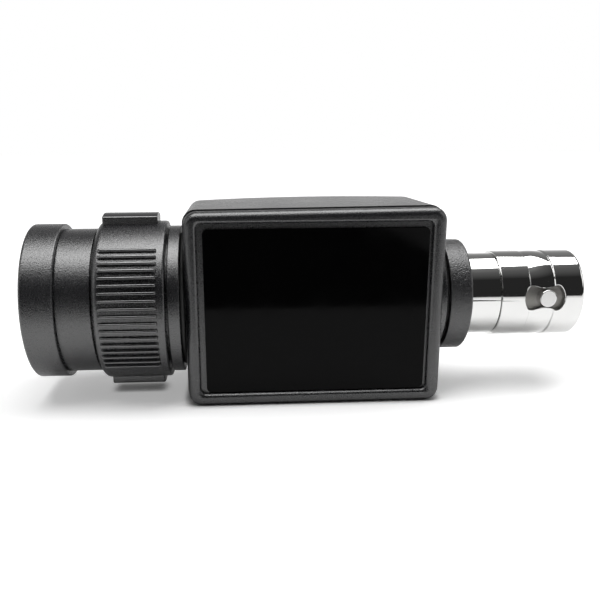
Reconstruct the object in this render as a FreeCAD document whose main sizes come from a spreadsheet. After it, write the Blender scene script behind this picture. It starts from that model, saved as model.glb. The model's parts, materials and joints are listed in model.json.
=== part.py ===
import FreeCAD, Part
import math
import operator
import os
import Sketcher
from FreeCAD import Placement, Rotation, Vector

# Oscilloscope probe termination: a moulded box that holds the compensation board, a ribbed
# turn-lock socket on its left for the probe's cable and a bayonet plug on its right.
# Frame: X runs along the common axis towards the bayonet plug, -Y is the front with the label
# plate, +Z is up. The origin lies under the middle of the box, on its flat underside.

# Driving sizes in millimetres and degrees
SIZES = {
    # box
    "box_width": 41.5,
    "nut_post_gap": 0.45,
    "box_corner": 2.15,
    "top_left_fall": 0.25,
    "top_right_rise": 0.1,
    "parting_gap": 0.3,
    "cover_depth": 3.0,
    "cover_edge_round": 1.25,
    "cover_step": 0.2,
    "shadow_gap_width": 0.25,
    "shadow_gap_depth": 0.3,
    "wall": 2.0,
    "back_distance": 17.5,
    "back_bow": 5.5,
    "back_round": 1.6,
    # recess and label plate in the front
    "rim_width_side": 2.25,
    "rim_width_top": 2.2,
    "rim_width_bottom": 2.08,
    "recess_depth": 0.9,
    "recess_corner": 0.9,
    "recess_chamfer": 0.4,
    "recess_floor": 0.9,
    "label_thickness": 0.5,
    "label_corner": 0.8,
    "label_margin_left": 0.94,
    "label_margin_right": 0.5,
    "label_margin_top": 0.9,
    "label_margin_bottom": 0.2,
    # lip that centres the cover in the shell
    "lip_length": 1.5,
    "lip_width": 1.0,
    "lip_clearance": 0.1,
    # screws that hold the cover to the shell
    "boss_wall": 0.4,
    "boss_wall_gap": 0.35,
    "boss_joint_distance": 2.0,
    "screw_seat_inset": 0.8,
    "case_screw_radius": 0.9,
    "case_screw_clearance": 0.25,
    "case_head_radius": 1.85,
    "case_head_height": 1.4,
    "case_head_clearance": 0.15,
    "case_thread_depth": 5.5,
    "thread_end_gap": 0.5,
    # circuit board and its screws
    "board_socket_gap": 0.5,
    "board_edge_gap": 0.9,
    "board_thickness": 1.6,
    "board_back_distance": 7.0,
    "board_notch_gap": 0.3,
    "board_screw_notch_gap": 2.8,
    "board_screw_edge_gap": 2.2,
    "board_screw_radius": 0.7,
    "board_screw_clearance": 0.25,
    "board_head_radius": 1.5,
    "board_head_height": 1.1,
    "board_thread_depth": 4.0,
    "board_boss_radius": 1.9,
    # adjusters on the board
    "capacitor_trimmer_left": 6.0,
    "capacitor_trimmer_spacing": 10.0,
    "capacitor_trimmer_radius": 3.2,
    "capacitor_trimmer_height": 3.4,
    "capacitor_rotor_radius": 2.0,
    "resistor_trimmer_right": 4.5,
    "resistor_trimmer_width": 6.4,
    "resistor_trimmer_height": 4.2,
    "resistor_rotor_radius": 1.5,
    "trimmer_base": 1.0,
    "trimmer_rise": 0.4,
    "trimmer_slot_width": 0.6,
    "trimmer_slot_depth": 0.8,
    "access_hole_radius": 1.8,
    # fixed components on the board
    "resistor_radius": 1.15,
    "resistor_length": 6.4,
    "resistor_pitch": 4.0,
    "lead_radius": 0.3,
    "lead_bend": 0.7,
    "component_standoff": 0.5,
    "capacitor_width": 6.0,
    "capacitor_depth": 4.2,
    "capacitor_thickness": 2.4,
    "capacitor_screw_gap": 0.5,
    "capacitor_spacing": 9.0,
    "wire_radius": 0.5,
    "wire_bend": 1.5,
    # turn-lock socket, from the box outwards
    "running_fit": 0.05,
    "seat_fit": 0.05,
    "socket_bore_radius": 9.0,
    "socket_wall": 1.9,
    "socket_gasket_thickness": 0.61,
    "socket_gasket_step": 0.3,
    "flange_thickness": 1.9,
    "flange_step": 1.45,
    "ring_end_gap": 0.3,
    "ring_length": 11.2,
    "ring_wall": 2.25,
    "ring_shoulder_round": 1.2,
    "ring_edge_chamfer": 0.3,
    "barrel_length": 5.5,
    "barrel_step": 1.1,
    "spigot_step": 0.1,
    "end_ring_length": 5.2,
    "end_ring_wall": 1.85,
    "end_ring_round": 0.5,
    "end_ring_lip": 0.5,
    "end_ring_chamfer": 0.4,
    "socket_back_wall": 3.4,
    "neck_radius": 6.5,
    "neck_reach": 3.75,
    "panel_washer_thickness": 0.6,
    "panel_washer_margin": 1.0,
    "panel_nut_thickness": 2.4,
    "panel_nut_margin": 1.8,
    # ribs and tabs of the coupling ring
    "rib_count": 18,
    "rib_pitch_angle": 5.12,
    "rib_group_rise": 2.6,
    "rib_width": 0.5,
    "rib_height": 0.5,
    "rib_left_margin": 0.95,
    "rib_right_margin": 1.2,
    "rib_end_round": 0.35,
    "tab_left_margin": 0.8,
    "tab_right_margin": 1.45,
    "tab_width": 5.3,
    "tab_height": 1.45,
    "tab_crown": 0.49,
    "tab_edge_round": 0.25,
    "ring_turn_angle": 60.0,
    # latch ring that the coupling ring turns inside the socket
    "latch_key_distance": 6.0,
    "latch_length": 8.7,
    "latch_thickness": 0.95,
    "latch_slot_width": 2.4,
    "latch_slot_length": 5.0,
    "latch_turn_angle": 40.0,
    "key_radius": 1.5,
    "key_setback": 3.1,
    "key_cover": 0.8,
    "key_side_clearance": 0.1,
    "key_end_angle": 1.0,
    # contacts inside the socket
    "socket_insulator_radius": 5.0,
    "socket_insulator_length": 9.0,
    "socket_insulator_shank": 3.2,
    "centre_socket_radius": 1.6,
    "centre_socket_bore": 1.0,
    "centre_socket_depth": 8.0,
    "centre_socket_reach": 1.0,
    "centre_socket_tail": 2.0,
    "ground_ring_gap": 0.4,
    "ground_ring_wall": 0.5,
    "ground_ring_length": 8.0,
    "ground_ring_base": 2.0,
    "ground_slot_count": 12,
    "ground_slot_width": 0.8,
    # bayonet plug, from the box outwards
    "seat_ring_thickness": 1.04,
    "seat_ring_step": 0.08,
    "seat_ring_round": 0.2,
    "collar_gasket_thickness": 0.55,
    "collar_gasket_step": 0.4,
    "collar_length": 3.7,
    "collar_wall": 1.2,
    "collar_round": 0.45,
    "plug_flange_thickness": 1.0,
    "plug_flange_step": 1.24,
    "plug_body_length": 5.4,
    "plug_body_step": 0.34,
    "plug_body_chamfer": 0.25,
    "plug_thread_radius": 4.75,
    "plug_thread_reach": 6.25,
    "lock_washer_thickness": 0.6,
    "lock_washer_margin": 1.65,
    "ground_tag_thickness": 0.4,
    "ground_tag_margin": 1.45,
    "ground_tag_gap": 0.15,
    "ground_tag_width": 2.4,
    "rear_nut_thickness": 2.4,
    "rear_nut_margin": 2.55,
    "sleeve_gap": 0.2,
    "sleeve_length": 14.1,
    "sleeve_wall": 0.88,
    "sleeve_web": 1.0,
    "sleeve_lip": 1.0,
    "sleeve_end_round": 0.7,
    "sleeve_edge_chamfer": 0.12,
    "band_step": 0.2,
    "band_step_length": 0.15,
    "band_start": 4.7,
    "band_end": 5.2,
    "band_crown": 0.22,
    "window_distance": 7.3,
    "window_side_gap": 0.83,
    "window_top_gap": 0.88,
    "window_end_bow": 1.15,
    "window_waist_bow": 0.65,
    "window_turn": 3.5,
    "hub_wall": 1.25,
    "hub_length": 4.3,
    "contact_radius": 4.05,
    "contact_wall": 0.55,
    "contact_length": 8.2,
    "contact_slot_width": 0.5,
    "contact_slot_length": 5.0,
    "snap_ring_height": 0.4,
    "snap_ring_depth": 0.4,
    "snap_ring_thickness": 0.6,
    "contact_gasket_length": 0.8,
    "contact_gasket_height": 0.8,
    # bayonet ring inside the sleeve and its spring
    "bayonet_gap": 0.1,
    "bayonet_flange": 1.0,
    "bayonet_relief_length": 2.8,
    "bayonet_relief_gap": 0.1,
    "bayonet_wall": 0.6,
    "bayonet_end_gap": 0.3,
    "bayonet_bore_gap": 0.9,
    "bayonet_travel": 0.8,
    "bayonet_slot_width": 2.2,
    "bayonet_slot_depth": 0.7,
    "bayonet_slot_length": 4.2,
    "bayonet_turn_angle": 75.0,
    "drive_pin_radius": 1.42,
    "drive_pin_shift": 0.2,
    "drive_pin_rise": 0.15,
    "drive_pin_edge": 0.35,
    "spring_thickness": 0.3,
    "spring_gap": 0.2,
    "spring_length": 1.2,
    "spring_waves": 3,
    # dielectric and centre pin of the plug
    "plug_insulator_start": 2.0,
    "plug_insulator_end": 1.0,
    "plug_insulator_shank": 2.2,
    "centre_pin_radius": 0.68,
    "centre_pin_setback": 0.7,
    "centre_pin_tail": 1.5,
}

DOCUMENT = FreeCAD.newDocument("probe_termination")
PLANE_SIGNS = {"XY_Plane": 1, "XZ_Plane": -1, "YZ_Plane": 1}
NODES = []


# Formulas tied to the sheet

class Formula:
    """A number together with the sheet formula that gives it."""

    def __init__(self, text, number):
        self.text = text
        self.number = number

    def __neg__(self):
        return Formula("-(" + self.text + ")", -self.number)

    def __add__(self, other):
        return combined(self, "+", other)

    def __radd__(self, other):
        return combined(other, "+", self)

    def __sub__(self, other):
        return combined(self, "-", other)

    def __rsub__(self, other):
        return combined(other, "-", self)

    def __mul__(self, other):
        return combined(self, "*", other)

    def __rmul__(self, other):
        return combined(other, "*", self)

    def __truediv__(self, other):
        return combined(self, "/", other)

    def __rtruediv__(self, other):
        return combined(other, "/", self)


ARITHMETIC = {
    "+": operator.add,
    "-": operator.sub,
    "*": operator.mul,
    "/": operator.truediv,
}


def formula(value):
    """Return a plain number as a formula, and a formula as it is."""
    if isinstance(value, Formula):
        return value
    return Formula(repr(float(value)), float(value))


def combined(left, sign, right):
    """Join two values with an arithmetic sign, in text and in number."""
    left = formula(left)
    right = formula(right)
    text = "(" + left.text + " " + sign + " " + right.text + ")"
    return Formula(text, ARITHMETIC[sign](left.number, right.number))


def root(value):
    """Square root of a formula."""
    return Formula("sqrt(" + value.text + ")", math.sqrt(value.number))


def arcsine(ratio):
    """Angle in degrees whose sine is this ratio."""
    return Formula("(asin(" + ratio.text + ") / 1 deg)", math.degrees(math.asin(ratio.number)))


def arc_radius(chord_squared, rise):
    """Radius of the arc that rises by this much over a chord."""
    return (chord_squared / 4 + rise * rise) / (2 * rise)


def number(value):
    """The plain number behind a value."""
    return formula(value).number


def make_sheet():
    """Write every driving size into the sheet under its own name."""
    sheet = DOCUMENT.addObject("Spreadsheet::Sheet", "sizes")
    for row, (name, value) in enumerate(SIZES.items(), start=1):
        sheet.set("A%d" % row, name)
        sheet.set("B%d" % row, str(value))
        sheet.setAlias("B%d" % row, name)
    DOCUMENT.recompute()
    return sheet


class SheetSizes:
    """The sheet's cells as formulas, by name."""

    def __init__(self, sheet):
        self.sheet = sheet

    def __getattr__(self, name):
        return Formula("sizes." + name, float(self.sheet.get(name)))


s = SheetSizes(make_sheet())


def bind(item, name, value):
    """Set a property of an object and keep it tied to its formula."""
    value = formula(value)
    if "sizes." in value.text:
        item.setExpression(name, value.text)
    elif isinstance(getattr(item, name), int):
        setattr(item, name, int(value.number))
    else:
        setattr(item, name, value.number)


# Places worked out from the sizes, all measured in the part's frame

half_width = s.box_width / 2
inner_half_width = half_width - s.wall
panel_washer_radius = s.neck_radius + s.panel_washer_margin
panel_nut_corner = s.neck_radius + s.panel_nut_margin
boss_radius = s.case_head_radius + s.case_head_clearance + s.boss_wall
boss_x = inner_half_width - s.boss_wall_gap - boss_radius
boss_z = panel_nut_corner + s.nut_post_gap + boss_radius
inner_half_height = boss_z + boss_radius + s.boss_wall_gap
half_height = inner_half_height + s.wall
axis_height = half_height
parting_y = -(panel_washer_radius + s.parting_gap)
front_y = parting_y - s.cover_depth
recess_y = front_y + s.recess_depth
recess_half_width = half_width - s.rim_width_side
recess_bottom = s.rim_width_bottom - half_height
recess_top = half_height - s.rim_width_top
cover_inner_y = recess_y + s.recess_floor
top_left_z = half_height - s.top_left_fall
top_right_z = half_height + s.top_right_rise
back_side_y = s.back_distance - s.back_bow
back_arc_radius = arc_radius(s.box_width * s.box_width, s.back_bow)
back_arc_centre_y = s.back_distance - back_arc_radius
inner_arc_radius = back_arc_radius - s.wall
inner_apex_y = s.back_distance - s.wall
inner_side_y = back_arc_centre_y + root(
    inner_arc_radius * inner_arc_radius - inner_half_width * inner_half_width
)
boss_joint_y = -s.boss_joint_distance
screw_seat_y = back_side_y - s.screw_seat_inset
case_thread_end_y = boss_joint_y - s.case_thread_depth
board_back_y = s.board_back_distance
board_front_y = board_back_y - s.board_thickness
board_half_width = half_width - s.wall - s.neck_reach - s.board_socket_gap
board_half_height = inner_half_height - s.board_edge_gap
board_notch_x = boss_x - boss_radius - s.board_notch_gap
board_notch_z = boss_z - boss_radius - s.board_notch_gap
board_screw_x = board_notch_x - s.board_screw_notch_gap
board_screw_z = board_half_height - s.board_screw_edge_gap
capacitor_z = board_screw_z - s.board_head_radius - s.capacitor_screw_gap - s.capacitor_thickness / 2

# Socket side, from the box towards -X
box_left = -half_width
gasket_left = box_left - s.socket_gasket_thickness
flange_left = gasket_left - s.flange_thickness
ring_right = flange_left - s.ring_end_gap
ring_left = ring_right - s.ring_length
barrel_right = ring_left - s.ring_end_gap
barrel_left = barrel_right - s.barrel_length
end_ring_left = barrel_left - s.end_ring_length
spigot_left = end_ring_left + s.end_ring_lip
bore_floor = flange_left - s.socket_back_wall
neck_right = box_left + s.wall + s.neck_reach
panel_washer_right = box_left + s.wall + s.panel_washer_thickness
socket_sleeve_radius = s.socket_bore_radius + s.socket_wall
barrel_radius = socket_sleeve_radius + s.barrel_step
spigot_radius = socket_sleeve_radius + s.spigot_step
end_ring_radius = spigot_radius + s.end_ring_wall
flange_radius = socket_sleeve_radius + s.flange_step
ring_bore_radius = socket_sleeve_radius + s.running_fit
ring_radius = ring_bore_radius + s.ring_wall
tab_radius = ring_radius + s.tab_height
key_x = ring_left + s.key_setback
key_outer_radius = ring_radius - s.key_cover
latch_left = key_x - s.latch_key_distance
latch_right = latch_left + s.latch_length
latch_radius = s.socket_bore_radius - s.running_fit
latch_inner_radius = latch_radius - s.latch_thickness
ground_ring_radius = latch_inner_radius - s.ground_ring_gap
tab_left = ring_left + s.tab_left_margin
tab_right = ring_right - s.tab_right_margin

# Plug side, from the box towards +X
box_right = half_width
seat_ring_right = box_right + s.seat_ring_thickness
collar_left = seat_ring_right + s.collar_gasket_thickness
collar_right = collar_left + s.collar_length
plug_flange_right = collar_left + s.plug_flange_thickness
plug_body_right = collar_right + s.plug_body_length
plug_thread_left = box_right - s.wall - s.plug_thread_reach
lock_washer_left = box_right - s.wall - s.lock_washer_thickness
ground_tag_left = lock_washer_left - s.ground_tag_thickness
rear_nut_left = ground_tag_left - s.rear_nut_thickness
rear_nut_corner = s.plug_thread_radius + s.rear_nut_margin
ground_wire_z = -(rear_nut_corner + s.ground_tag_gap + s.wire_radius)
hub_right = plug_body_right + s.hub_length
contact_right = hub_right + s.contact_length
sleeve_left = plug_body_right + s.sleeve_gap
sleeve_right = sleeve_left + s.sleeve_length
hub_radius = s.contact_radius + s.hub_wall
snap_ring_radius = hub_radius + s.snap_ring_height
bayonet_relief_radius = snap_ring_radius + s.bayonet_relief_gap
bayonet_radius = bayonet_relief_radius + s.bayonet_wall
sleeve_inner_radius = bayonet_radius + s.running_fit
sleeve_radius = sleeve_inner_radius + s.sleeve_wall
plug_body_radius = sleeve_radius - s.plug_body_step
plug_flange_radius = plug_body_radius + s.plug_flange_step
collar_radius = plug_flange_radius + s.collar_wall
web_right = sleeve_left + s.sleeve_web
lip_left = sleeve_right - s.sleeve_lip
bayonet_left = web_right + s.bayonet_gap
bayonet_flange_right = bayonet_left + s.bayonet_flange
bayonet_relief_right = bayonet_flange_right + s.bayonet_relief_length
bayonet_right = lip_left - s.bayonet_travel - s.bayonet_end_gap
bayonet_bore_radius = s.contact_radius + s.bayonet_bore_gap
bayonet_slot_radius = bayonet_bore_radius + s.bayonet_slot_depth
spring_right = bayonet_flange_right + s.spring_length
snap_ring_right = spring_right + s.snap_ring_thickness
hub_bore_radius = hub_radius + s.running_fit
snap_groove_radius = hub_radius - s.snap_ring_depth
contact_bore_radius = s.contact_radius - s.contact_wall
window_x = sleeve_left + s.window_distance
window_half_width = s.drive_pin_radius + s.window_side_gap
window_half_height = s.drive_pin_radius + s.window_top_gap
drive_pin_x = window_x + s.drive_pin_shift
plug_insulator_left = plug_thread_left
plug_insulator_step = collar_left + s.plug_insulator_start
plug_insulator_right = hub_right - s.plug_insulator_end


# Helpers that draw, cut and join

def new_body(name, height=axis_height, x=0, y=0):
    """Start a sub-part whose own origin stands at this place of the frame."""
    body = DOCUMENT.addObject("PartDesign::Body", name)
    body.Label = name
    body.Placement = Placement(Vector(number(x), number(y), number(height)), Rotation())
    for letter, value in (("x", x), ("y", y), ("z", height)):
        if isinstance(value, Formula):
            body.setExpression("Placement.Base." + letter, value.text)
    NODES.append(body)
    return body


def turn_with_window(body):
    """Turn a body about the axis by the small angle at which the window stands."""
    base = body.Placement.Base
    body.Placement = Placement(base, Rotation(Vector(-1, 0, 0), number(s.window_turn)))
    body.setExpression("Placement.Rotation.Angle", s.window_turn.text)


def sketch_on(body, plane, name, at=0, tilt=None):
    """Start a sketch on one of the body's own planes, moved along its axis or tilted about X."""
    sketch = body.newObject("Sketcher::SketchObject", name)
    planes = {item.Role: item for item in body.Origin.OriginFeatures}
    sketch.AttachmentSupport = [(planes[plane], "")]
    sketch.MapMode = "FlatFace"
    shift = PLANE_SIGNS[plane] * formula(at)
    if tilt is not None:
        sketch.AttachmentOffset = Placement(Vector(), Rotation(Vector(1, 0, 0), number(tilt)))
        sketch.setExpression("AttachmentOffset.Rotation.Angle", formula(tilt).text)
        return sketch
    sketch.AttachmentOffset = Placement(Vector(0, 0, shift.number), Rotation())
    if isinstance(at, Formula):
        sketch.setExpression("AttachmentOffset.Base.z", shift.text)
    return sketch


def direction(start, end):
    """Sign of each step from one corner to the next along a side square to the axes."""
    signs = []
    for a, b in zip(start, end):
        step = number(b) - number(a)
        signs.append(0 if abs(step) < 1e-9 else int(math.copysign(1, step)))
    return signs


def moved(corner, signs, length):
    """Corner moved by a length along the given signs."""
    place = []
    for value, sign in zip(corner, signs):
        place.append(value if sign == 0 else value + sign * length)
    return tuple(place)


def sides_of(corners):
    """Turn corners into sides: (start, end, middle of the arc or None, arc radius or None)."""
    points = []
    for index, corner in enumerate(corners):
        place = corner[:2]
        mode = corner[2] if len(corner) > 2 else None
        if mode == "round":
            back = direction(place, corners[index - 1][:2])
            ahead = direction(place, corners[(index + 1) % len(corners)][:2])
            radius = corner[3]
            cut = number(radius) * (1 - math.sqrt(0.5))
            middle = (
                number(place[0]) + cut * (back[0] + ahead[0]),
                number(place[1]) + cut * (back[1] + ahead[1]),
            )
            points.append((moved(place, back, radius), middle, radius))
            points.append((moved(place, ahead, radius), None, None))
        elif mode == "bow":
            points.append((place, "bow", corner[3]))
        else:
            points.append((place, None, None))
    sides = []
    for index, (start, middle, extra) in enumerate(points):
        end = points[(index + 1) % len(points)][0]
        if middle == "bow":
            middle, extra = bow_arc(start, end, extra)
        sides.append((start, end, middle, extra))
    return sides


def bow_arc(start, end, rise):
    """Middle point and radius of a side that bows outwards, or inwards where the rise is negative."""
    step_x = number(end[0]) - number(start[0])
    step_y = number(end[1]) - number(start[1])
    chord = math.hypot(step_x, step_y)
    middle = (
        (number(start[0]) + number(end[0])) / 2 + number(rise) * step_y / chord,
        (number(start[1]) + number(end[1])) / 2 - number(rise) * step_x / chord,
    )
    chord_x = end[0] - start[0]
    chord_y = end[1] - start[1]
    size = rise if number(rise) > 0 else -rise
    return middle, arc_radius(formula(chord_x * chord_x + chord_y * chord_y), size)


def outline(sketch, corners):
    """Draw a closed outline, counterclockwise, and tie every point of it to its formulas.

    A corner is (x, y). It may add "round" and a radius where its two sides are square to each
    other, or "bow" and a rise where the side that follows is an arc.
    """
    ends = []
    for start, end, middle, radius in sides_of(corners):
        first = Vector(number(start[0]), number(start[1]), 0)
        last = Vector(number(end[0]), number(end[1]), 0)
        if middle is None:
            index = sketch.addGeometry(Part.LineSegment(first, last), False)
        else:
            index = sketch.addGeometry(Part.Arc(first, Vector(middle[0], middle[1], 0), last), False)
        swapped = (sketch.getPoint(index, 1) - first).Length > (sketch.getPoint(index, 2) - first).Length
        ends.append((index, 2 if swapped else 1, 1 if swapped else 2, start, radius))
    for place, (index, first_end, last_end, start, radius) in enumerate(ends):
        following = ends[(place + 1) % len(ends)]
        sketch.addConstraint(
            Sketcher.Constraint("Coincident", index, last_end, following[0], following[1])
        )
        tie(sketch, "DistanceX", (-1, 1, index, first_end), start[0])
        tie(sketch, "DistanceY", (-1, 1, index, first_end), start[1])
        if radius is not None:
            tie(sketch, "Radius", (index,), radius)


def tie(sketch, kind, items, value):
    """Add one dimension to a sketch and keep it tied to its formula."""
    value = formula(value)
    index = sketch.addConstraint(Sketcher.Constraint(kind, *items, value.number))
    if "sizes." in value.text:
        sketch.setExpression("Constraints[%d]" % index, value.text)


def circle(sketch, x, y, radius):
    """Draw a circle tied to its formulas."""
    centre = Vector(number(x), number(y), 0)
    index = sketch.addGeometry(Part.Circle(centre, Vector(0, 0, 1), number(radius)), False)
    tie(sketch, "Radius", (index,), radius)
    tie(sketch, "DistanceX", (-1, 1, index, 3), x)
    tie(sketch, "DistanceY", (-1, 1, index, 3), y)


def rectangle(left, bottom, right, top, corner=None):
    """Corners of a rectangle, rounded where a radius is given."""
    places = [(left, bottom), (right, bottom), (right, top), (left, top)]
    if corner is None:
        return places
    return [(x, y, "round", corner) for x, y in places]


def plane_sign(sketch):
    """Sign of the sketch's normal along its global axis."""
    return PLANE_SIGNS[sketch.AttachmentSupport[0][0].Role]


def four_ways():
    """Signs of the four corners of a rectangle about the middle."""
    return [(x, z) for x in (-1, 1) for z in (-1, 1)]


def finish(body, feature, adds):
    """Compute a feature and make sure that it added or removed material."""
    base = feature.BaseFeature
    DOCUMENT.recompute()
    if base is None:
        return feature
    change = feature.Shape.Volume - base.Shape.Volume
    if (change if adds else -change) < 1e-6:
        raise RuntimeError(body.Label + ": " + feature.Name + " changed nothing")
    return feature


def pad(body, sketch, length, way):
    """Raise a sketch towards + or - of its axis, or both ways alike where way is 0."""
    feature = body.newObject("PartDesign::Pad", sketch.Name + "_pad")
    feature.Profile = sketch
    bind(feature, "Length", length)
    feature.Midplane = way == 0
    feature.Reversed = way == -plane_sign(sketch)
    return finish(body, feature, True)


def pocket(body, sketch, length, way):
    """Cut a sketch towards + or - of its axis, or both ways alike where way is 0."""
    feature = body.newObject("PartDesign::Pocket", sketch.Name + "_pocket")
    feature.Profile = sketch
    bind(feature, "Length", length)
    feature.Midplane = way == 0
    feature.Reversed = way == plane_sign(sketch)
    return finish(body, feature, False)


def revolve(body, sketch, angle=360, axis="H_Axis"):
    """Turn a profile about one of the sketch's own axes, to both sides of the sketch."""
    feature = body.newObject("PartDesign::Revolution", sketch.Name + "_revolution")
    feature.Profile = sketch
    feature.ReferenceAxis = (sketch, [axis])
    feature.Midplane = angle != 360
    bind(feature, "Angle", angle)
    return finish(body, feature, True)


def groove(body, sketch, angle=360, axis="H_Axis"):
    """Cut a profile turned about one of the sketch's own axes, to both sides of the sketch."""
    feature = body.newObject("PartDesign::Groove", sketch.Name + "_groove")
    feature.Profile = sketch
    feature.ReferenceAxis = (sketch, [axis])
    feature.Midplane = angle != 360
    bind(feature, "Angle", angle)
    return finish(body, feature, False)


def repeat_around(body, feature, count, angle=360, backwards=False):
    """Repeat a feature about the body's X axis."""
    pattern = body.newObject("PartDesign::PolarPattern", feature.Name + "_pattern")
    axes = {item.Role: item for item in body.Origin.OriginFeatures}
    pattern.Originals = [feature]
    pattern.Axis = (axes["X_Axis"], [""])
    bind(pattern, "Angle", angle)
    bind(pattern, "Occurrences", count)
    pattern.Reversed = backwards
    body.Tip = pattern
    DOCUMENT.recompute()
    return pattern


def edges_where(feature, test):
    """Names of the edges of a feature that pass a test."""
    names = []
    for index, edge in enumerate(feature.Shape.Edges, start=1):
        if test(edge):
            names.append("Edge%d" % index)
    return names


def dress(body, kind, size_name, size, test):
    """Round or chamfer the edges of the body that pass a test."""
    base = body.Tip
    names = edges_where(base, test)
    feature = body.newObject("PartDesign::" + kind, body.Name + "_" + kind.lower())
    feature.Base = (base, names)
    bind(feature, size_name, size)
    DOCUMENT.recompute()
    return feature


def round_edges(body, radius, test):
    """Round the edges that pass a test."""
    return dress(body, "Fillet", "Radius", radius, test)


def chamfer_edges(body, size, test):
    """Chamfer the edges that pass a test."""
    return dress(body, "Chamfer", "Size", size, test)


def turned(name, corners):
    """Body turned about the axis from a profile of (x, radius) corners."""
    body = new_body(name)
    profile = sketch_on(body, "XY_Plane", name + "_profile")
    outline(profile, corners)
    revolve(body, profile)
    return body


def plain_ring(name, left, right, outer, bore):
    """Flat ring about the axis."""
    return turned(name, rectangle(left, bore, right, outer))


def near(value, target):
    """Whether a coordinate lies at a place."""
    return abs(value - number(target)) < 1e-4


def lies_at(edge, axis, target):
    """Whether both ends of an edge lie in a plane square to an axis."""
    return all(near(getattr(vertex.Point, axis), target) for vertex in edge.Vertexes)


# Box: cover, shell, label plate and screws

def make_front_cover():
    """Front cover with its recess, the lip that centres it and four screw bosses."""
    body = new_body("front_cover")
    gap = s.shadow_gap_depth
    step_y = parting_y - s.shadow_gap_width
    inset = sketch_on(body, "XZ_Plane", "cover_inset", parting_y)
    outline(inset, box_outline(gap, s.cover_step))
    pad(body, inset, s.shadow_gap_width, -1)
    round_edges(body, s.box_corner - gap, lambda edge: runs_front_to_back(edge, step_y, parting_y))
    face = sketch_on(body, "XZ_Plane", "cover_face", step_y)
    outline(face, box_outline(0, s.cover_step))
    pad(body, face, s.cover_depth - s.shadow_gap_width, -1)
    round_edges(body, s.box_corner, lambda edge: runs_front_to_back(edge, front_y, step_y))
    round_edges(body, s.cover_edge_round, lambda edge: lies_at(edge, "y", front_y))

    recess = sketch_on(body, "XZ_Plane", "cover_recess", front_y)
    outline(recess, rectangle(
        -recess_half_width, recess_bottom, recess_half_width, recess_top, s.recess_corner
    ))
    pocket(body, recess, s.recess_depth, 1)
    chamfer_edges(body, s.recess_chamfer, on_recess_rim)

    lip_x = inner_half_width - s.lip_clearance
    lip_z = inner_half_height - s.lip_clearance
    lip = sketch_on(body, "XZ_Plane", "cover_lip", parting_y)
    outline(lip, rectangle(-lip_x, -lip_z, lip_x, lip_z, s.lip_width))
    pad(body, lip, s.lip_length, 1)
    hollow_x = lip_x - s.lip_width
    hollow_z = lip_z - s.lip_width
    hollow = sketch_on(body, "XZ_Plane", "cover_hollow", parting_y + s.lip_length)
    outline(hollow, rectangle(-hollow_x, -hollow_z, hollow_x, hollow_z))
    pocket(body, hollow, parting_y + s.lip_length - cover_inner_y, -1)

    nut_reach = panel_nut_corner + s.lip_width
    breaks = sketch_on(body, "XZ_Plane", "cover_lip_break", parting_y + s.lip_length)
    outline(breaks, rectangle(-half_width, -nut_reach, half_width, nut_reach))
    pocket(body, breaks, s.lip_length, -1)

    bosses = sketch_on(body, "XZ_Plane", "cover_bosses", boss_joint_y)
    for x, z in four_ways():
        circle(bosses, x * boss_x, z * boss_z, boss_radius)
    pad(body, bosses, boss_joint_y - cover_inner_y, -1)
    pilots = sketch_on(body, "XZ_Plane", "cover_pilots", boss_joint_y)
    for x, z in four_ways():
        circle(pilots, x * boss_x, z * boss_z, s.case_screw_radius)
    pocket(body, pilots, s.case_thread_depth + s.thread_end_gap, -1)


def box_outline(inset, step=0):
    """Corners of the box seen from the front, all moved inwards: its top falls to the left.

    A step moves the top and the left side further in, as on the cover.
    """
    left = inset + step - half_width
    return [
        (left, inset - half_height),
        (half_width - inset, inset - half_height),
        (half_width - inset, top_right_z - inset - step),
        (left, top_left_z - inset - step),
    ]


def on_recess_rim(edge):
    """Whether an edge is the recess's edge in the front face."""
    if not lies_at(edge, "y", front_y):
        return False
    box = edge.BoundBox
    inside_x = max(abs(box.XMin), abs(box.XMax)) < number(recess_half_width) + 1e-3
    return inside_x and box.ZMin > number(recess_bottom) - 1e-3 and box.ZMax < number(recess_top) + 1e-3


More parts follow.
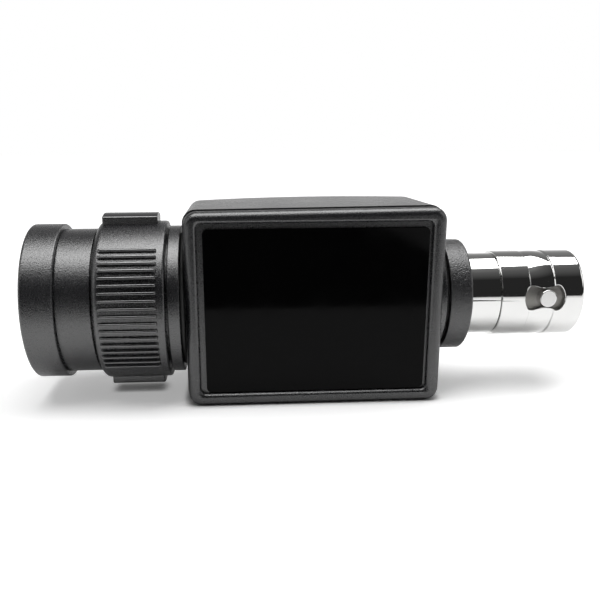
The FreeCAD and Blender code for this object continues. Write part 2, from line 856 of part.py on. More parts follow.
def make_rear_shell():
    """Rear shell: flat below, bowed at the back, with posts for board and cover."""
    body = new_body("rear_shell")
    face = sketch_on(body, "XZ_Plane", "shell_face", parting_y)
    outline(face, box_outline(0))
    pad(body, face, s.back_distance - parting_y, 1)
    round_edges(body, s.box_corner, lambda edge: runs_front_to_back(edge, parting_y, s.back_distance))

    cavity = sketch_on(body, "XY_Plane", "shell_cavity")
    outline(cavity, [
        (-inner_half_width, parting_y),
        (inner_half_width, parting_y),
        (inner_half_width, inner_side_y, "bow", inner_apex_y - inner_side_y),
        (-inner_half_width, inner_side_y),
    ])
    pocket(body, cavity, 2 * inner_half_height, 0)

    posts = sketch_on(body, "XZ_Plane", "shell_posts", boss_joint_y)
    for x, z in four_ways():
        circle(posts, x * boss_x, z * boss_z, boss_radius)
    pad(body, posts, s.back_distance - boss_joint_y, 1)
    board_posts = sketch_on(body, "XZ_Plane", "shell_board_posts", board_back_y)
    for x, z in four_ways():
        circle(board_posts, x * board_screw_x, z * board_screw_z, s.board_boss_radius)
    pad(body, board_posts, s.back_distance - board_back_y, 1)

    past = s.wall
    back = sketch_on(body, "XY_Plane", "shell_back")
    outline(back, [
        (half_width, back_side_y),
        (half_width + past, back_side_y),
        (half_width + past, s.back_distance + past),
        (-half_width - past, s.back_distance + past),
        (-half_width - past, back_side_y),
        (-half_width, back_side_y, "bow", -s.back_bow),
    ])
    pocket(body, back, 4 * half_height, 0)
    round_edges(body, s.back_round, on_bowed_back(body.Tip))

    seats = sketch_on(body, "XZ_Plane", "shell_screw_seats", screw_seat_y)
    for x, z in four_ways():
        circle(seats, x * boss_x, z * boss_z, s.case_head_radius + s.case_head_clearance)
    pocket(body, seats, s.back_distance - screw_seat_y, 1)
    passages = sketch_on(body, "XZ_Plane", "shell_screw_holes", boss_joint_y)
    for x, z in four_ways():
        circle(passages, x * boss_x, z * boss_z, s.case_screw_radius + s.case_screw_clearance)
    pocket(body, passages, screw_seat_y - boss_joint_y, 1)
    pilots = sketch_on(body, "XZ_Plane", "shell_board_pilots", board_back_y)
    for x, z in four_ways():
        circle(pilots, x * board_screw_x, z * board_screw_z, s.board_screw_radius)
    pocket(body, pilots, s.board_thread_depth + s.thread_end_gap, 1)

    access = sketch_on(body, "XZ_Plane", "shell_access_holes", s.board_back_distance)
    for z in (-1, 1):
        circle(access, -s.capacitor_trimmer_left, z * s.capacitor_trimmer_spacing / 2, s.access_hole_radius)
    circle(access, s.resistor_trimmer_right, 0, s.access_hole_radius)
    pocket(body, access, s.back_distance, 1)
    left = sketch_on(body, "YZ_Plane", "shell_socket_hole")
    circle(left, 0, 0, s.neck_radius + s.seat_fit)
    pocket(body, left, s.box_width, -1)
    right = sketch_on(body, "YZ_Plane", "shell_plug_hole")
    circle(right, 0, 0, s.plug_thread_radius + s.seat_fit)
    pocket(body, right, s.box_width, 1)


def runs_front_to_back(edge, front, back):
    """Whether an edge joins one plane square to Y to another."""
    ends = sorted(vertex.Point.y for vertex in edge.Vertexes)
    return near(ends[0], front) and near(ends[-1], back)


def on_bowed_back(feature):
    """Test for the edges that bound the bowed back face."""
    bowed = []
    for face in feature.Shape.Faces:
        if isinstance(face.Surface, Part.Cylinder) and near(face.Surface.Radius, back_arc_radius):
            bowed.extend(face.OuterWire.Edges)
    return lambda edge: any(edge.isSame(item) for item in bowed)


def make_label_plate():
    """Thin bare plate that lies in the recess of the cover."""
    body = new_body("label_plate")
    sketch = sketch_on(body, "XZ_Plane", "label_outline", recess_y)
    outline(sketch, rectangle(
        s.label_margin_left - recess_half_width,
        recess_bottom + s.label_margin_bottom,
        recess_half_width - s.label_margin_right,
        recess_top - s.label_margin_top,
        s.label_corner,
    ))
    pad(body, sketch, s.label_thickness, -1)


def screw(name, x, z, seat_y, way, shank_radius, shank_length, head_radius, head_height):
    """Pan-head screw along Y with a cross recess: way is +1 where its head points to the back."""
    body = new_body(name, axis_height + z, x, seat_y)
    top = way * head_height
    tip = -way * shank_length
    taper = -way * (shank_length - shank_radius)
    corners = [
        (0, tip),
        (shank_radius / 2, tip),
        (shank_radius, taper),
        (shank_radius, 0),
        (head_radius, 0),
        (head_radius, top - way * head_height / 3),
        (head_radius * 0.75, top),
        (0, top),
    ]
    if way < 0:
        corners.reverse()
    profile = sketch_on(body, "XY_Plane", name + "_profile")
    outline(profile, corners)
    revolve(body, profile, 360, "V_Axis")
    arm = head_radius * 0.6
    half = head_radius * 0.15
    cross = sketch_on(body, "XZ_Plane", name + "_cross", top)
    outline(cross, [
        (-arm, -half), (-half, -half), (-half, -arm), (half, -arm), (half, -half), (arm, -half),
        (arm, half), (half, half), (half, arm), (-half, arm), (-half, half), (-arm, half),
    ])
    pocket(body, cross, head_height * 0.6, -way)


def make_case_screws():
    """Four screws that enter from the back and hold the cover to the shell."""
    length = screw_seat_y - case_thread_end_y
    for index, (x, z) in enumerate(four_ways(), start=1):
        screw(
            "case_screw_%d" % index, x * boss_x, z * boss_z, screw_seat_y, 1,
            s.case_screw_radius, length, s.case_head_radius, s.case_head_height,
        )


# Circuit board and what it carries

def make_circuit_board():
    """Board with notches around the case posts and four screw holes."""
    body = new_body("circuit_board")
    x = board_half_width
    z = board_half_height
    sketch = sketch_on(body, "XZ_Plane", "board_outline", board_front_y)
    outline(sketch, [
        (-board_notch_x, -z), (board_notch_x, -z), (board_notch_x, -board_notch_z), (x, -board_notch_z),
        (x, board_notch_z), (board_notch_x, board_notch_z), (board_notch_x, z), (-board_notch_x, z),
        (-board_notch_x, board_notch_z), (-x, board_notch_z), (-x, -board_notch_z),
        (-board_notch_x, -board_notch_z),
    ])
    pad(body, sketch, s.board_thickness, 1)
    holes = sketch_on(body, "XZ_Plane", "board_holes", board_front_y)
    for sign_x, sign_z in four_ways():
        circle(
            holes, sign_x * board_screw_x, sign_z * board_screw_z,
            s.board_screw_radius + s.board_screw_clearance,
        )
    pocket(body, holes, s.board_thickness, 1)


def make_board_screws():
    """Four screws that hold the board to its posts, heads towards the front."""
    length = s.board_thickness + s.board_thread_depth
    for index, (x, z) in enumerate(four_ways(), start=1):
        screw(
            "board_screw_%d" % index, x * board_screw_x, z * board_screw_z,
            board_front_y, -1, s.board_screw_radius, length, s.board_head_radius, s.board_head_height,
        )


def rotor(name, x, z, radius, height):
    """Adjuster rotor with a screwdriver slot, on the back of the board."""
    body = new_body(name, axis_height + z, x, board_back_y)
    foot = s.trimmer_base + s.running_fit
    top = height + s.trimmer_rise
    profile = sketch_on(body, "XY_Plane", name + "_profile")
    outline(profile, [
        (0, foot), (radius, foot), (radius, top - radius / 10), (radius * 0.9, top), (0, top),
    ])
    revolve(body, profile, 360, "V_Axis")
    slot = sketch_on(body, "XZ_Plane", name + "_slot", top)
    outline(slot, rectangle(-radius, -s.trimmer_slot_width / 2, radius, s.trimmer_slot_width / 2))
    pocket(body, slot, s.trimmer_slot_depth, -1)


def make_trimmers():
    """Two variable capacitors and one variable resistor, each a body with a rotor in it."""
    for index, z in enumerate((-1, 1), start=1):
        x = -s.capacitor_trimmer_left
        row = z * s.capacitor_trimmer_spacing / 2
        body = new_body("trimmer_capacitor_body_%d" % index, axis_height + row, x, board_back_y)
        well = s.capacitor_rotor_radius + s.running_fit
        profile = sketch_on(body, "XY_Plane", body.Label + "_profile")
        outline(profile, [
            (0, 0), (s.capacitor_trimmer_radius, 0), (s.capacitor_trimmer_radius, s.capacitor_trimmer_height),
            (well, s.capacitor_trimmer_height), (well, s.trimmer_base), (0, s.trimmer_base),
        ])
        revolve(body, profile, 360, "V_Axis")
        rotor(
            "trimmer_capacitor_rotor_%d" % index, x, row,
            s.capacitor_rotor_radius, s.capacitor_trimmer_height,
        )
    side = s.resistor_trimmer_width / 2
    body = new_body("trimmer_resistor_body", axis_height, s.resistor_trimmer_right, board_back_y)
    block = sketch_on(body, "XZ_Plane", "trimmer_block")
    outline(block, rectangle(-side, -side, side, side))
    pad(body, block, s.resistor_trimmer_height, 1)
    well = sketch_on(body, "XZ_Plane", "trimmer_well", s.trimmer_base)
    circle(well, 0, 0, s.resistor_rotor_radius + s.running_fit)
    pocket(body, well, s.resistor_trimmer_height - s.trimmer_base, 1)
    rotor(
        "trimmer_resistor_rotor", s.resistor_trimmer_right, 0,
        s.resistor_rotor_radius, s.resistor_trimmer_height,
    )


def tube_along(points, radius, bend):
    """Round wire along straight runs joined by arcs of one bend radius."""
    places = [Vector(*[number(value) for value in point]) for point in points]
    size = number(bend)
    edges = []
    start = places[0]
    for before, corner, after in zip(places, places[1:], places[2:]):
        back = (before - corner).normalize()
        ahead = (after - corner).normalize()
        half_turn = back.getAngle(ahead) / 2
        reach = size / math.tan(half_turn)
        entry = corner + back * reach
        leave = corner + ahead * reach
        centre = corner + (back + ahead).normalize() * (size / math.sin(half_turn))
        middle = centre + (corner - centre).normalize() * size
        edges.append(Part.LineSegment(start, entry).toShape())
        edges.append(Part.Arc(entry, middle, leave).toShape())
        start = leave
    edges.append(Part.LineSegment(start, places[-1]).toShape())
    path = Part.Wire(edges)
    section = Part.Wire([Part.Circle(places[0], places[1] - places[0], number(radius)).toShape()])
    return path.makePipeShell([section], True, False)


def formed(name, shape):
    """Sub-part whose shape comes from swept wires, placed at the axis."""
    item = DOCUMENT.addObject("Part::Feature", name)
    item.Label = name
    item.Shape = shape
    item.Placement = Placement(Vector(0, 0, number(axis_height)), Rotation())
    item.setExpression("Placement.Base.z", axis_height.text)
    NODES.append(item)


def make_fixed_resistors():
    """Three resistors on the front of the board, each with its two bent leads."""
    body_y = board_front_y - s.component_standoff - s.resistor_radius
    half = s.resistor_length / 2
    reach = half + 2 * s.lead_bend
    for index in range(3):
        z = (index - 1) * s.resistor_pitch
        core = Part.makeCylinder(
            number(s.resistor_radius), number(s.resistor_length),
            Vector(-number(half), number(body_y), number(z)), Vector(1, 0, 0),
        )
        for side in (-1, 1):
            lead = tube_along(
                [(side * half, body_y, z), (side * reach, body_y, z), (side * reach, board_front_y, z)],
                s.lead_radius, s.lead_bend,
            )
            core = core.fuse(lead)
        formed("fixed_resistor_%d" % (index + 1), core)


def make_fixed_capacitors():
    """Two box-shaped capacitors on the front of the board, above the resistors."""
    for index, side in enumerate((-1, 1), start=1):
        x = side * s.capacitor_spacing / 2
        body = new_body("fixed_capacitor_%d" % index, axis_height + capacitor_z, x)
        sketch = sketch_on(body, "XZ_Plane", body.Label + "_outline", board_front_y)
        outline(sketch, rectangle(
            -s.capacitor_width / 2, -s.capacitor_thickness / 2,
            s.capacitor_width / 2, s.capacitor_thickness / 2, s.lead_radius,
        ))
        pad(body, sketch, s.capacitor_depth, -1)


def make_wires():
    """Wires from the two connectors and from the ground tag to the front of the board."""
    input_start = neck_right + s.centre_socket_tail
    input_end = input_start + 2 * s.wire_bend
    formed("input_wire", tube_along(
        [(input_start, 0, 0), (input_end, 0, 0), (input_end, board_front_y, 0)], s.wire_radius, s.wire_bend,
    ))
    output_start = plug_thread_left - s.centre_pin_tail
    output_end = output_start - 2 * s.wire_bend
    formed("output_wire", tube_along(
        [(output_start, 0, 0), (output_end, 0, 0), (output_end, board_front_y, 0)], s.wire_radius, s.wire_bend,
    ))
    ground_end = ground_tag_left - s.ground_tag_width - 2 * s.wire_bend
    formed("ground_wire", tube_along(
        [
            (ground_tag_left, 0, ground_wire_z),
            (ground_end, 0, ground_wire_z),
            (ground_end, board_front_y, ground_wire_z),
        ],
        s.wire_radius, s.wire_bend,
    ))


# Turn-lock socket on the left

def make_socket_body():
    """Turned socket body: spigot, barrel, sleeve for the coupling ring, back wall and neck."""
    body = turned("socket_body", [
        (spigot_left, s.socket_bore_radius),
        (bore_floor, s.socket_bore_radius),
        (bore_floor, s.socket_insulator_shank),
        (neck_right, s.socket_insulator_shank),
        (neck_right, s.neck_radius),
        (flange_left, s.neck_radius),
        (flange_left, socket_sleeve_radius),
        (barrel_right, socket_sleeve_radius),
        (barrel_right, barrel_radius),
        (barrel_left, barrel_radius),
        (barrel_left, spigot_radius),
        (spigot_left, spigot_radius),
    ])
    reach = s.key_radius + s.key_side_clearance
    key_half_angle = arcsine(s.key_radius / s.socket_bore_radius)
    slot = sketch_on(body, "XZ_Plane", "key_slot", 0, s.ring_turn_angle / 2)
    outline(slot, rectangle(
        key_x - reach, s.socket_bore_radius - s.wall / 2, key_x + reach, socket_sleeve_radius + s.wall / 2,
    ))
    cut = groove(body, slot, s.ring_turn_angle + 2 * (key_half_angle + s.key_end_angle))
    repeat_around(body, cut, 2)


def make_end_ring():
    """Ring around the socket's mouth, pressed on the spigot."""
    turned("end_ring", [
        (end_ring_left, s.socket_bore_radius + s.end_ring_chamfer),
        (end_ring_left + s.end_ring_chamfer, s.socket_bore_radius),
        (spigot_left, s.socket_bore_radius),
        (spigot_left, spigot_radius),
        (barrel_left, spigot_radius),
        (barrel_left, end_ring_radius, "round", s.end_ring_round / 2),
        (end_ring_left, end_ring_radius, "round", s.end_ring_round),
    ])


def hexagonal_nut(name, left, thickness, corner, bore):
    """Nut about the axis with two flats towards the front and the back."""
    body = new_body(name)
    side = corner * math.sqrt(3) / 2
    sketch = sketch_on(body, "YZ_Plane", name + "_outline", left)
    outline(sketch, [
        (0, -corner), (side, -corner / 2), (side, corner / 2),
        (0, corner), (-side, corner / 2), (-side, -corner / 2),
    ])
    pad(body, sketch, thickness, 1)
    hole = sketch_on(body, "YZ_Plane", name + "_bore", left)
    circle(hole, 0, 0, bore)
    pocket(body, hole, thickness, 1)


def make_socket_mount():
    """Flange, gasket, washer and nut that clamp the socket to the box."""
    plain_ring("mounting_flange", flange_left, gasket_left, flange_radius, s.neck_radius)
    plain_ring("socket_gasket", gasket_left, box_left, socket_sleeve_radius + s.socket_gasket_step, s.neck_radius)
    plain_ring(
        "panel_washer", box_left + s.wall, panel_washer_right, panel_washer_radius, s.neck_radius
    )
    hexagonal_nut(
        "panel_nut", panel_washer_right, s.panel_nut_thickness, panel_nut_corner, s.neck_radius
    )


def make_socket_contacts():
    """Insulator, centre contact and sprung ground ring inside the socket."""
    insulator_left = bore_floor - s.socket_insulator_length
    turned("socket_insulator", [
        (insulator_left, s.centre_socket_radius),
        (neck_right, s.centre_socket_radius),
        (neck_right, s.socket_insulator_shank),
        (bore_floor, s.socket_insulator_shank),
        (bore_floor, s.socket_insulator_radius),
        (insulator_left, s.socket_insulator_radius),
    ])
    contact_left = insulator_left - s.centre_socket_reach
    tail = neck_right + s.centre_socket_tail
    turned("centre_socket", [
        (contact_left, s.centre_socket_bore),
        (contact_left + s.centre_socket_depth, s.centre_socket_bore),
        (contact_left + s.centre_socket_depth, 0),
        (tail, 0),
        (tail, s.centre_socket_radius),
        (contact_left, s.centre_socket_radius),
    ])
    ring_start = bore_floor - s.ground_ring_length
    body = plain_ring(
        "ground_ring", ring_start, bore_floor, ground_ring_radius, ground_ring_radius - s.ground_ring_wall
    )
    slot = sketch_on(body, "XY_Plane", "ground_ring_slot", s.socket_insulator_radius)
    outline(slot, rectangle(
        ring_start, -s.ground_slot_width / 2, bore_floor - s.ground_ring_base, s.ground_slot_width / 2,
    ))
    cut = pocket(body, slot, ground_ring_radius, 1)
    repeat_around(body, cut, s.ground_slot_count)


def make_coupling_ring():
    """Ribbed ring turned by hand, with a tab above and below."""
    body = turned("coupling_ring", [
        (ring_left, ring_bore_radius),
        (ring_right, ring_bore_radius),
        (ring_right, ring_radius - s.ring_edge_chamfer),
        (ring_right - s.ring_edge_chamfer, ring_radius),
        (ring_left, ring_radius, "round", s.ring_shoulder_round),
    ])
    rib_left = ring_left + s.rib_left_margin
    rib_right = ring_right - s.rib_right_margin
    rib_top = ring_radius + s.rib_height
    rib_foot = ring_radius - s.rib_height
    rib_angle = s.rib_width / ring_radius * (180 / math.pi)
    group_angle = (s.rib_count - 1) * s.rib_pitch_angle
    for side, name in ((-1, "front_rib"), (1, "back_rib")):
        profile = sketch_on(body, "XY_Plane", name, 0, group_angle / 2 - s.rib_group_rise)
        corners = [
            (rib_left, side * rib_foot),
            (rib_right, side * rib_foot),
            (rib_right, side * rib_top, "round", s.rib_end_round),
            (rib_left, side * rib_top, "round", s.rib_end_round),
        ]
        if side < 0:
            corners.reverse()
        outline(profile, corners)
        rib = revolve(body, profile, rib_angle)
        repeat_around(body, rib, s.rib_count, group_angle, True)

    half = s.tab_width / 2
    edge_z = tab_radius - s.tab_crown
    profile = sketch_on(body, "YZ_Plane", "tab_profile", tab_left)
    outline(profile, [
        (-half, rib_foot - s.rib_height),
        (half, rib_foot - s.rib_height),
        (half, edge_z, "bow", s.tab_crown),
        (-half, edge_z),
    ])
    tab = pad(body, profile, tab_right - tab_left, 1)
    repeat_around(body, tab, 2)
    round_edges(body, s.tab_edge_round, lambda edge: on_tab_top(edge))
    for name, way in (("key_hole_top", 1), ("key_hole_bottom", -1)):
        hole = sketch_on(body, "XY_Plane", name)
        circle(hole, key_x, 0, s.key_radius)
        pocket(body, hole, key_outer_radius, way)


def on_tab_top(edge):
    """Whether an edge bounds the outer face of a tab."""
    box = edge.BoundBox
    low = min(abs(box.ZMin), abs(box.ZMax))
    same_side = box.ZMin * box.ZMax > 0
    return same_side and low > number(tab_radius - s.tab_crown) - 1e-3


def make_latch_ring():
    """Ring inside the socket with two hooked slots for the pins of the mating plug."""
    body = plain_ring("latch_ring", latch_left, latch_right, latch_radius, latch_inner_radius)
    half = s.latch_slot_width / 2
    entry_right = latch_left + s.latch_slot_length
    entries = sketch_on(body, "XZ_Plane", "latch_entries")
    outline(entries, rectangle(latch_left, -half, entry_right, half))
    pocket(body, entries, 4 * latch_radius, 0)
    legs = sketch_on(body, "XY_Plane", "latch_legs", 0, s.latch_turn_angle / 2)
    outline(legs, rectangle(
        entry_right - s.latch_slot_width, latch_inner_radius - s.latch_thickness / 2,
        entry_right, latch_radius + s.latch_thickness / 2,
    ))
    cut = groove(body, legs, s.latch_turn_angle)
    repeat_around(body, cut, 2)
    for name, way in (("latch_hole_top", 1), ("latch_hole_bottom", -1)):
        hole = sketch_on(body, "XY_Plane", name)
        circle(hole, key_x, 0, s.key_radius)
        pocket(body, hole, latch_radius, way)


def make_drive_keys():
    """Two radial keys that join the coupling ring to the latch ring through the sleeve."""
    length = key_outer_radius - latch_inner_radius
    for name, way in (("drive_key_top", 1), ("drive_key_bottom", -1)):
        body = new_body(name, axis_height, key_x)
        sketch = sketch_on(body, "XY_Plane", name + "_circle", way * latch_inner_radius)
        circle(sketch, 0, 0, s.key_radius)
        pad(body, sketch, length, way)
        chamfer_edges(body, s.key_side_clearance, lambda edge: isinstance(edge.Curve, Part.Circle))


# Bayonet plug on the right

def make_plug_mount():
    """Seat ring, gasket and collar outside the box, washers and nut inside it."""
    bore = s.plug_thread_radius
    turned("plug_seat_ring", [
        (box_right, bore + s.seat_fit),
        (seat_ring_right, bore + s.seat_fit),
        (seat_ring_right, (collar_radius - s.seat_ring_step), "round", s.seat_ring_round),
        (box_right, (collar_radius - s.seat_ring_step)),
    ])
    plain_ring("collar_gasket", seat_ring_right, collar_left, plug_flange_radius + s.collar_gasket_step, bore)
    turned("collar", [
        (collar_left, plug_flange_radius),
        (plug_flange_right, plug_flange_radius),
        (plug_flange_right, plug_body_radius),
        (collar_right, plug_body_radius),
        (collar_right, collar_radius, "round", s.collar_round),
        (collar_left, collar_radius, "round", s.collar_round / 3),
    ])
    plain_ring("plug_lock_washer", lock_washer_left, box_right - s.wall, bore + s.lock_washer_margin, bore)
    hexagonal_nut("plug_rear_nut", rear_nut_left, s.rear_nut_thickness, rear_nut_corner, bore)
    body = new_body("plug_ground_tag")
    tag = sketch_on(body, "YZ_Plane", "ground_tag_ring", ground_tag_left)
    circle(tag, 0, 0, bore + s.ground_tag_margin)
    pad(body, tag, s.ground_tag_thickness, 1)
    tongue = sketch_on(body, "YZ_Plane", "ground_tag_tongue", ground_tag_left)
    outline(tongue, rectangle(
        -s.ground_tag_width / 2, ground_wire_z - s.wire_radius, s.ground_tag_width / 2, -bore,
    ))
    pad(body, tongue, s.ground_tag_thickness, 1)
    hole = sketch_on(body, "YZ_Plane", "ground_tag_bore", ground_tag_left)
    circle(hole, 0, 0, bore)
    pocket(body, hole, s.ground_tag_thickness, 1)


def make_plug_body():
    """Turned plug body: thread, flange, cylinder, hub with a ring groove and slotted contact."""
    body = turned("plug_body", [
        (plug_thread_left, s.plug_insulator_shank),
        (plug_insulator_step, s.plug_insulator_shank),
        (plug_insulator_step, contact_bore_radius),
        (contact_right, contact_bore_radius),
        (contact_right, s.contact_radius),
        (hub_right, s.contact_radius),
        (hub_right, hub_radius),
        (snap_ring_right, hub_radius),
        (snap_ring_right, snap_groove_radius),
        (spring_right, snap_groove_radius),
        (spring_right, hub_radius),
        (plug_body_right, hub_radius),
        (plug_body_right, plug_body_radius - s.plug_body_chamfer),
        (plug_body_right - s.plug_body_chamfer, plug_body_radius),
        (plug_flange_right, plug_body_radius),
        (plug_flange_right, plug_flange_radius),
        (collar_left, plug_flange_radius),
        (collar_left, s.plug_thread_radius),
        (plug_thread_left, s.plug_thread_radius),
    ])
    slot = sketch_on(body, "XZ_Plane", "contact_slot")
    outline(slot, rectangle(
        contact_right - s.contact_slot_length, -s.contact_slot_width / 2, contact_right, s.contact_slot_width / 2,
    ))
    cut = pocket(body, slot, 4 * s.contact_radius, 0)
    crossed = body.newObject("PartDesign::PolarPattern", "contact_slots")
    axes = {item.Role: item for item in body.Origin.OriginFeatures}
    crossed.Originals = [cut]
    crossed.Axis = (axes["X_Axis"], [""])
    crossed.Angle = 180
    crossed.Occurrences = 3
    body.Tip = crossed
    DOCUMENT.recompute()


def make_plug_contacts():
    """Insulator, centre pin, face gasket and snap ring of the plug."""
    turned("plug_insulator", [
        (plug_insulator_left, s.centre_pin_radius),
        (plug_insulator_right, s.centre_pin_radius),
        (plug_insulator_right, contact_bore_radius),
        (plug_insulator_step, contact_bore_radius),
        (plug_insulator_step, s.plug_insulator_shank),
        (plug_insulator_left, s.plug_insulator_shank),
    ])
    tail = plug_thread_left - s.centre_pin_tail
    tip = contact_right - s.centre_pin_setback
    turned("plug_centre_pin", [
        (tail, 0),
        (tip, 0),
        (tip, s.centre_pin_radius / 3),
        (tip - s.centre_pin_radius, s.centre_pin_radius),
        (tail, s.centre_pin_radius),
    ])
    plain_ring(
        "plug_face_gasket", hub_right, hub_right + s.contact_gasket_length,
        s.contact_radius + s.contact_gasket_height, s.contact_radius,
    )
    plain_ring("plug_snap_ring", spring_right, snap_ring_right, snap_ring_radius, snap_groove_radius)


def make_plug_sleeve():
    """Chrome coupling sleeve: crowned band, two waisted windows and a notched end lip."""
    band_left = sleeve_left + s.band_start
    band_right = sleeve_right - s.band_end
    step_radius = sleeve_radius - s.band_step
    body = turned("plug_sleeve", [
        (sleeve_left, hub_bore_radius),
        (web_right, hub_bore_radius),
        (web_right, sleeve_inner_radius),
        (lip_left, sleeve_inner_radius),
        (lip_left, bayonet_bore_radius),
        (sleeve_right, bayonet_bore_radius),
        (sleeve_right, sleeve_radius, "round", s.sleeve_end_round),
        (band_right + s.band_step_length, sleeve_radius),
        (band_right, step_radius, "bow", s.band_crown),
        (band_left + s.band_step_length, step_radius),
        (band_left, sleeve_radius),
        (sleeve_left + s.sleeve_edge_chamfer, sleeve_radius),
        (sleeve_left, sleeve_radius - s.sleeve_edge_chamfer),
    ])
    turn_with_window(body)
    window = sketch_on(body, "XZ_Plane", "sleeve_window")
    outline(window, [
        (window_x - window_half_width, -window_half_height, "bow", -s.window_waist_bow),
        (window_x + window_half_width, -window_half_height, "bow", s.window_end_bow),
        (window_x + window_half_width, window_half_height, "bow", -s.window_waist_bow),
        (window_x - window_half_width, window_half_height, "bow", s.window_end_bow),
    ])
    pocket(body, window, 4 * sleeve_radius, 0)
    half = s.bayonet_slot_width / 2
    notch = sketch_on(body, "YZ_Plane", "lip_notch", lip_left)
    outline(notch, rectangle(-half, -bayonet_slot_radius, half, bayonet_slot_radius))
    pocket(body, notch, s.sleeve_lip, 1)


def make_bayonet_ring():
    """Sliding ring inside the sleeve that catches the studs of the mating socket."""
    body = turned("bayonet_ring", [
        (bayonet_left, hub_bore_radius),
        (bayonet_flange_right, hub_bore_radius),
        (bayonet_flange_right, bayonet_relief_radius),
        (bayonet_relief_right, bayonet_relief_radius),
        (bayonet_relief_right, bayonet_bore_radius),
        (bayonet_right, bayonet_bore_radius),
        (bayonet_right, bayonet_radius),
        (bayonet_left, bayonet_radius),
    ])
    turn_with_window(body)
    half = s.bayonet_slot_width / 2
    entry_left = bayonet_right - s.bayonet_slot_length
    entry = sketch_on(body, "YZ_Plane", "bayonet_entry", entry_left)
    outline(entry, rectangle(-half, -bayonet_slot_radius, half, bayonet_slot_radius))
    pocket(body, entry, s.bayonet_slot_length, 1)
    leg = sketch_on(body, "XZ_Plane", "bayonet_leg", 0, s.bayonet_turn_angle / 2)
    outline(leg, rectangle(
        entry_left, bayonet_bore_radius - s.wall / 2, entry_left + s.bayonet_slot_width, bayonet_slot_radius,
    ))
    cut = groove(body, leg, s.bayonet_turn_angle)
    repeat_around(body, cut, 2)
    hole = sketch_on(body, "XZ_Plane", "drive_pin_holes")
    circle(hole, drive_pin_x, 0, s.drive_pin_radius)
    pocket(body, hole, 4 * sleeve_radius, 0)


def make_drive_pins():
    """Two pins that stand out of the bayonet ring through the sleeve's windows."""
    outer = sleeve_radius + s.drive_pin_rise
    edge = s.drive_pin_edge
    for name, way in (("drive_pin_front", -1), ("drive_pin_back", 1)):
        body = new_body(name, axis_height, drive_pin_x)
        turn_with_window(body)
        corners = [
            (0, way * bayonet_bore_radius),
            (s.drive_pin_radius, way * bayonet_bore_radius),
            (s.drive_pin_radius, way * (outer - edge)),
            (s.drive_pin_radius - edge, way * outer),
            (0, way * outer),
        ]
        if way < 0:
            corners.reverse()
        profile = sketch_on(body, "XY_Plane", name + "_profile")
        outline(profile, corners)
        revolve(body, profile, 360, "V_Axis")


def make_spring_washer():
    """Wave washer between the bayonet ring's flange and the snap ring: a closed wavy ring."""
    inner = number(hub_bore_radius)
    outer = number(bayonet_relief_radius - s.spring_gap)
    middle = number(bayonet_flange_right + spring_right) / 2
    swing = number(s.spring_length - s.spring_thickness) / 2
    half = number(s.spring_thickness) / 2
    waves = int(number(s.spring_waves))
    count = 8 * waves
    rails = []
    for radius, lift in ((inner, -half), (outer, -half), (outer, half), (inner, half)):
        points = []
        for step in range(count):
            angle = 2 * math.pi * step / count
            x = middle + lift + swing * math.cos(waves * angle)
            points.append(Vector(x, radius * math.cos(angle), radius * math.sin(angle)))
        curve = Part.BSplineCurve()
        curve.interpolate(Points=points, PeriodicFlag=True)
        rails.append(Part.Wire([curve.toShape()]))
    faces = []
    for first, second in zip(rails, rails[1:] + rails[:1]):
        faces.extend(Part.makeRuledSurface(first, second).Faces)
    shell = Part.makeShell(faces)
    solid = Part.makeSolid(shell)
    if solid.Volume < 0:
        solid.reverse()
    formed("spring_washer", solid)


def check_and_write():
    """Stop on any failed object or bad shape, then write one file for each sub-part."""
    DOCUMENT.recompute()
    for item in DOCUMENT.Objects:
        if "Invalid" in item.State or "Error" in item.State:
            raise RuntimeError(item.Label + " failed: " + str(item.State))
    for node in NODES:
        shape = node.Shape
        if shape.isNull() or not shape.isValid():
            raise RuntimeError(node.Label + " has no valid shape")
    os.makedirs("parts", exist_ok=True)
    for node in NODES:
        node.Shape.exportStep("parts/" + node.Label + ".step")
        print(node.Label, len(node.Shape.Solids), round(node.Shape.Volume, 3))


make_front_cover()
make_rear_shell()
make_label_plate()
make_case_screws()
make_circuit_board()
make_board_screws()
make_trimmers()
make_fixed_resistors()
make_fixed_capacitors()
make_wires()
make_socket_body()
make_end_ring()
make_socket_mount()
make_socket_contacts()
make_coupling_ring()
make_latch_ring()
make_drive_keys()
make_plug_mount()
make_plug_body()
make_plug_contacts()
make_plug_sleeve()
make_bayonet_ring()
make_drive_pins()
make_spring_washer()
check_and_write()
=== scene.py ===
"""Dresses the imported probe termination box: smooth moulded, turned and plated pieces in a white studio."""

import json
import math

import bmesh
import bpy
import numpy as np
from bpy.props import FloatProperty, FloatVectorProperty, IntProperty, PointerProperty
from mathutils import Matrix, Vector


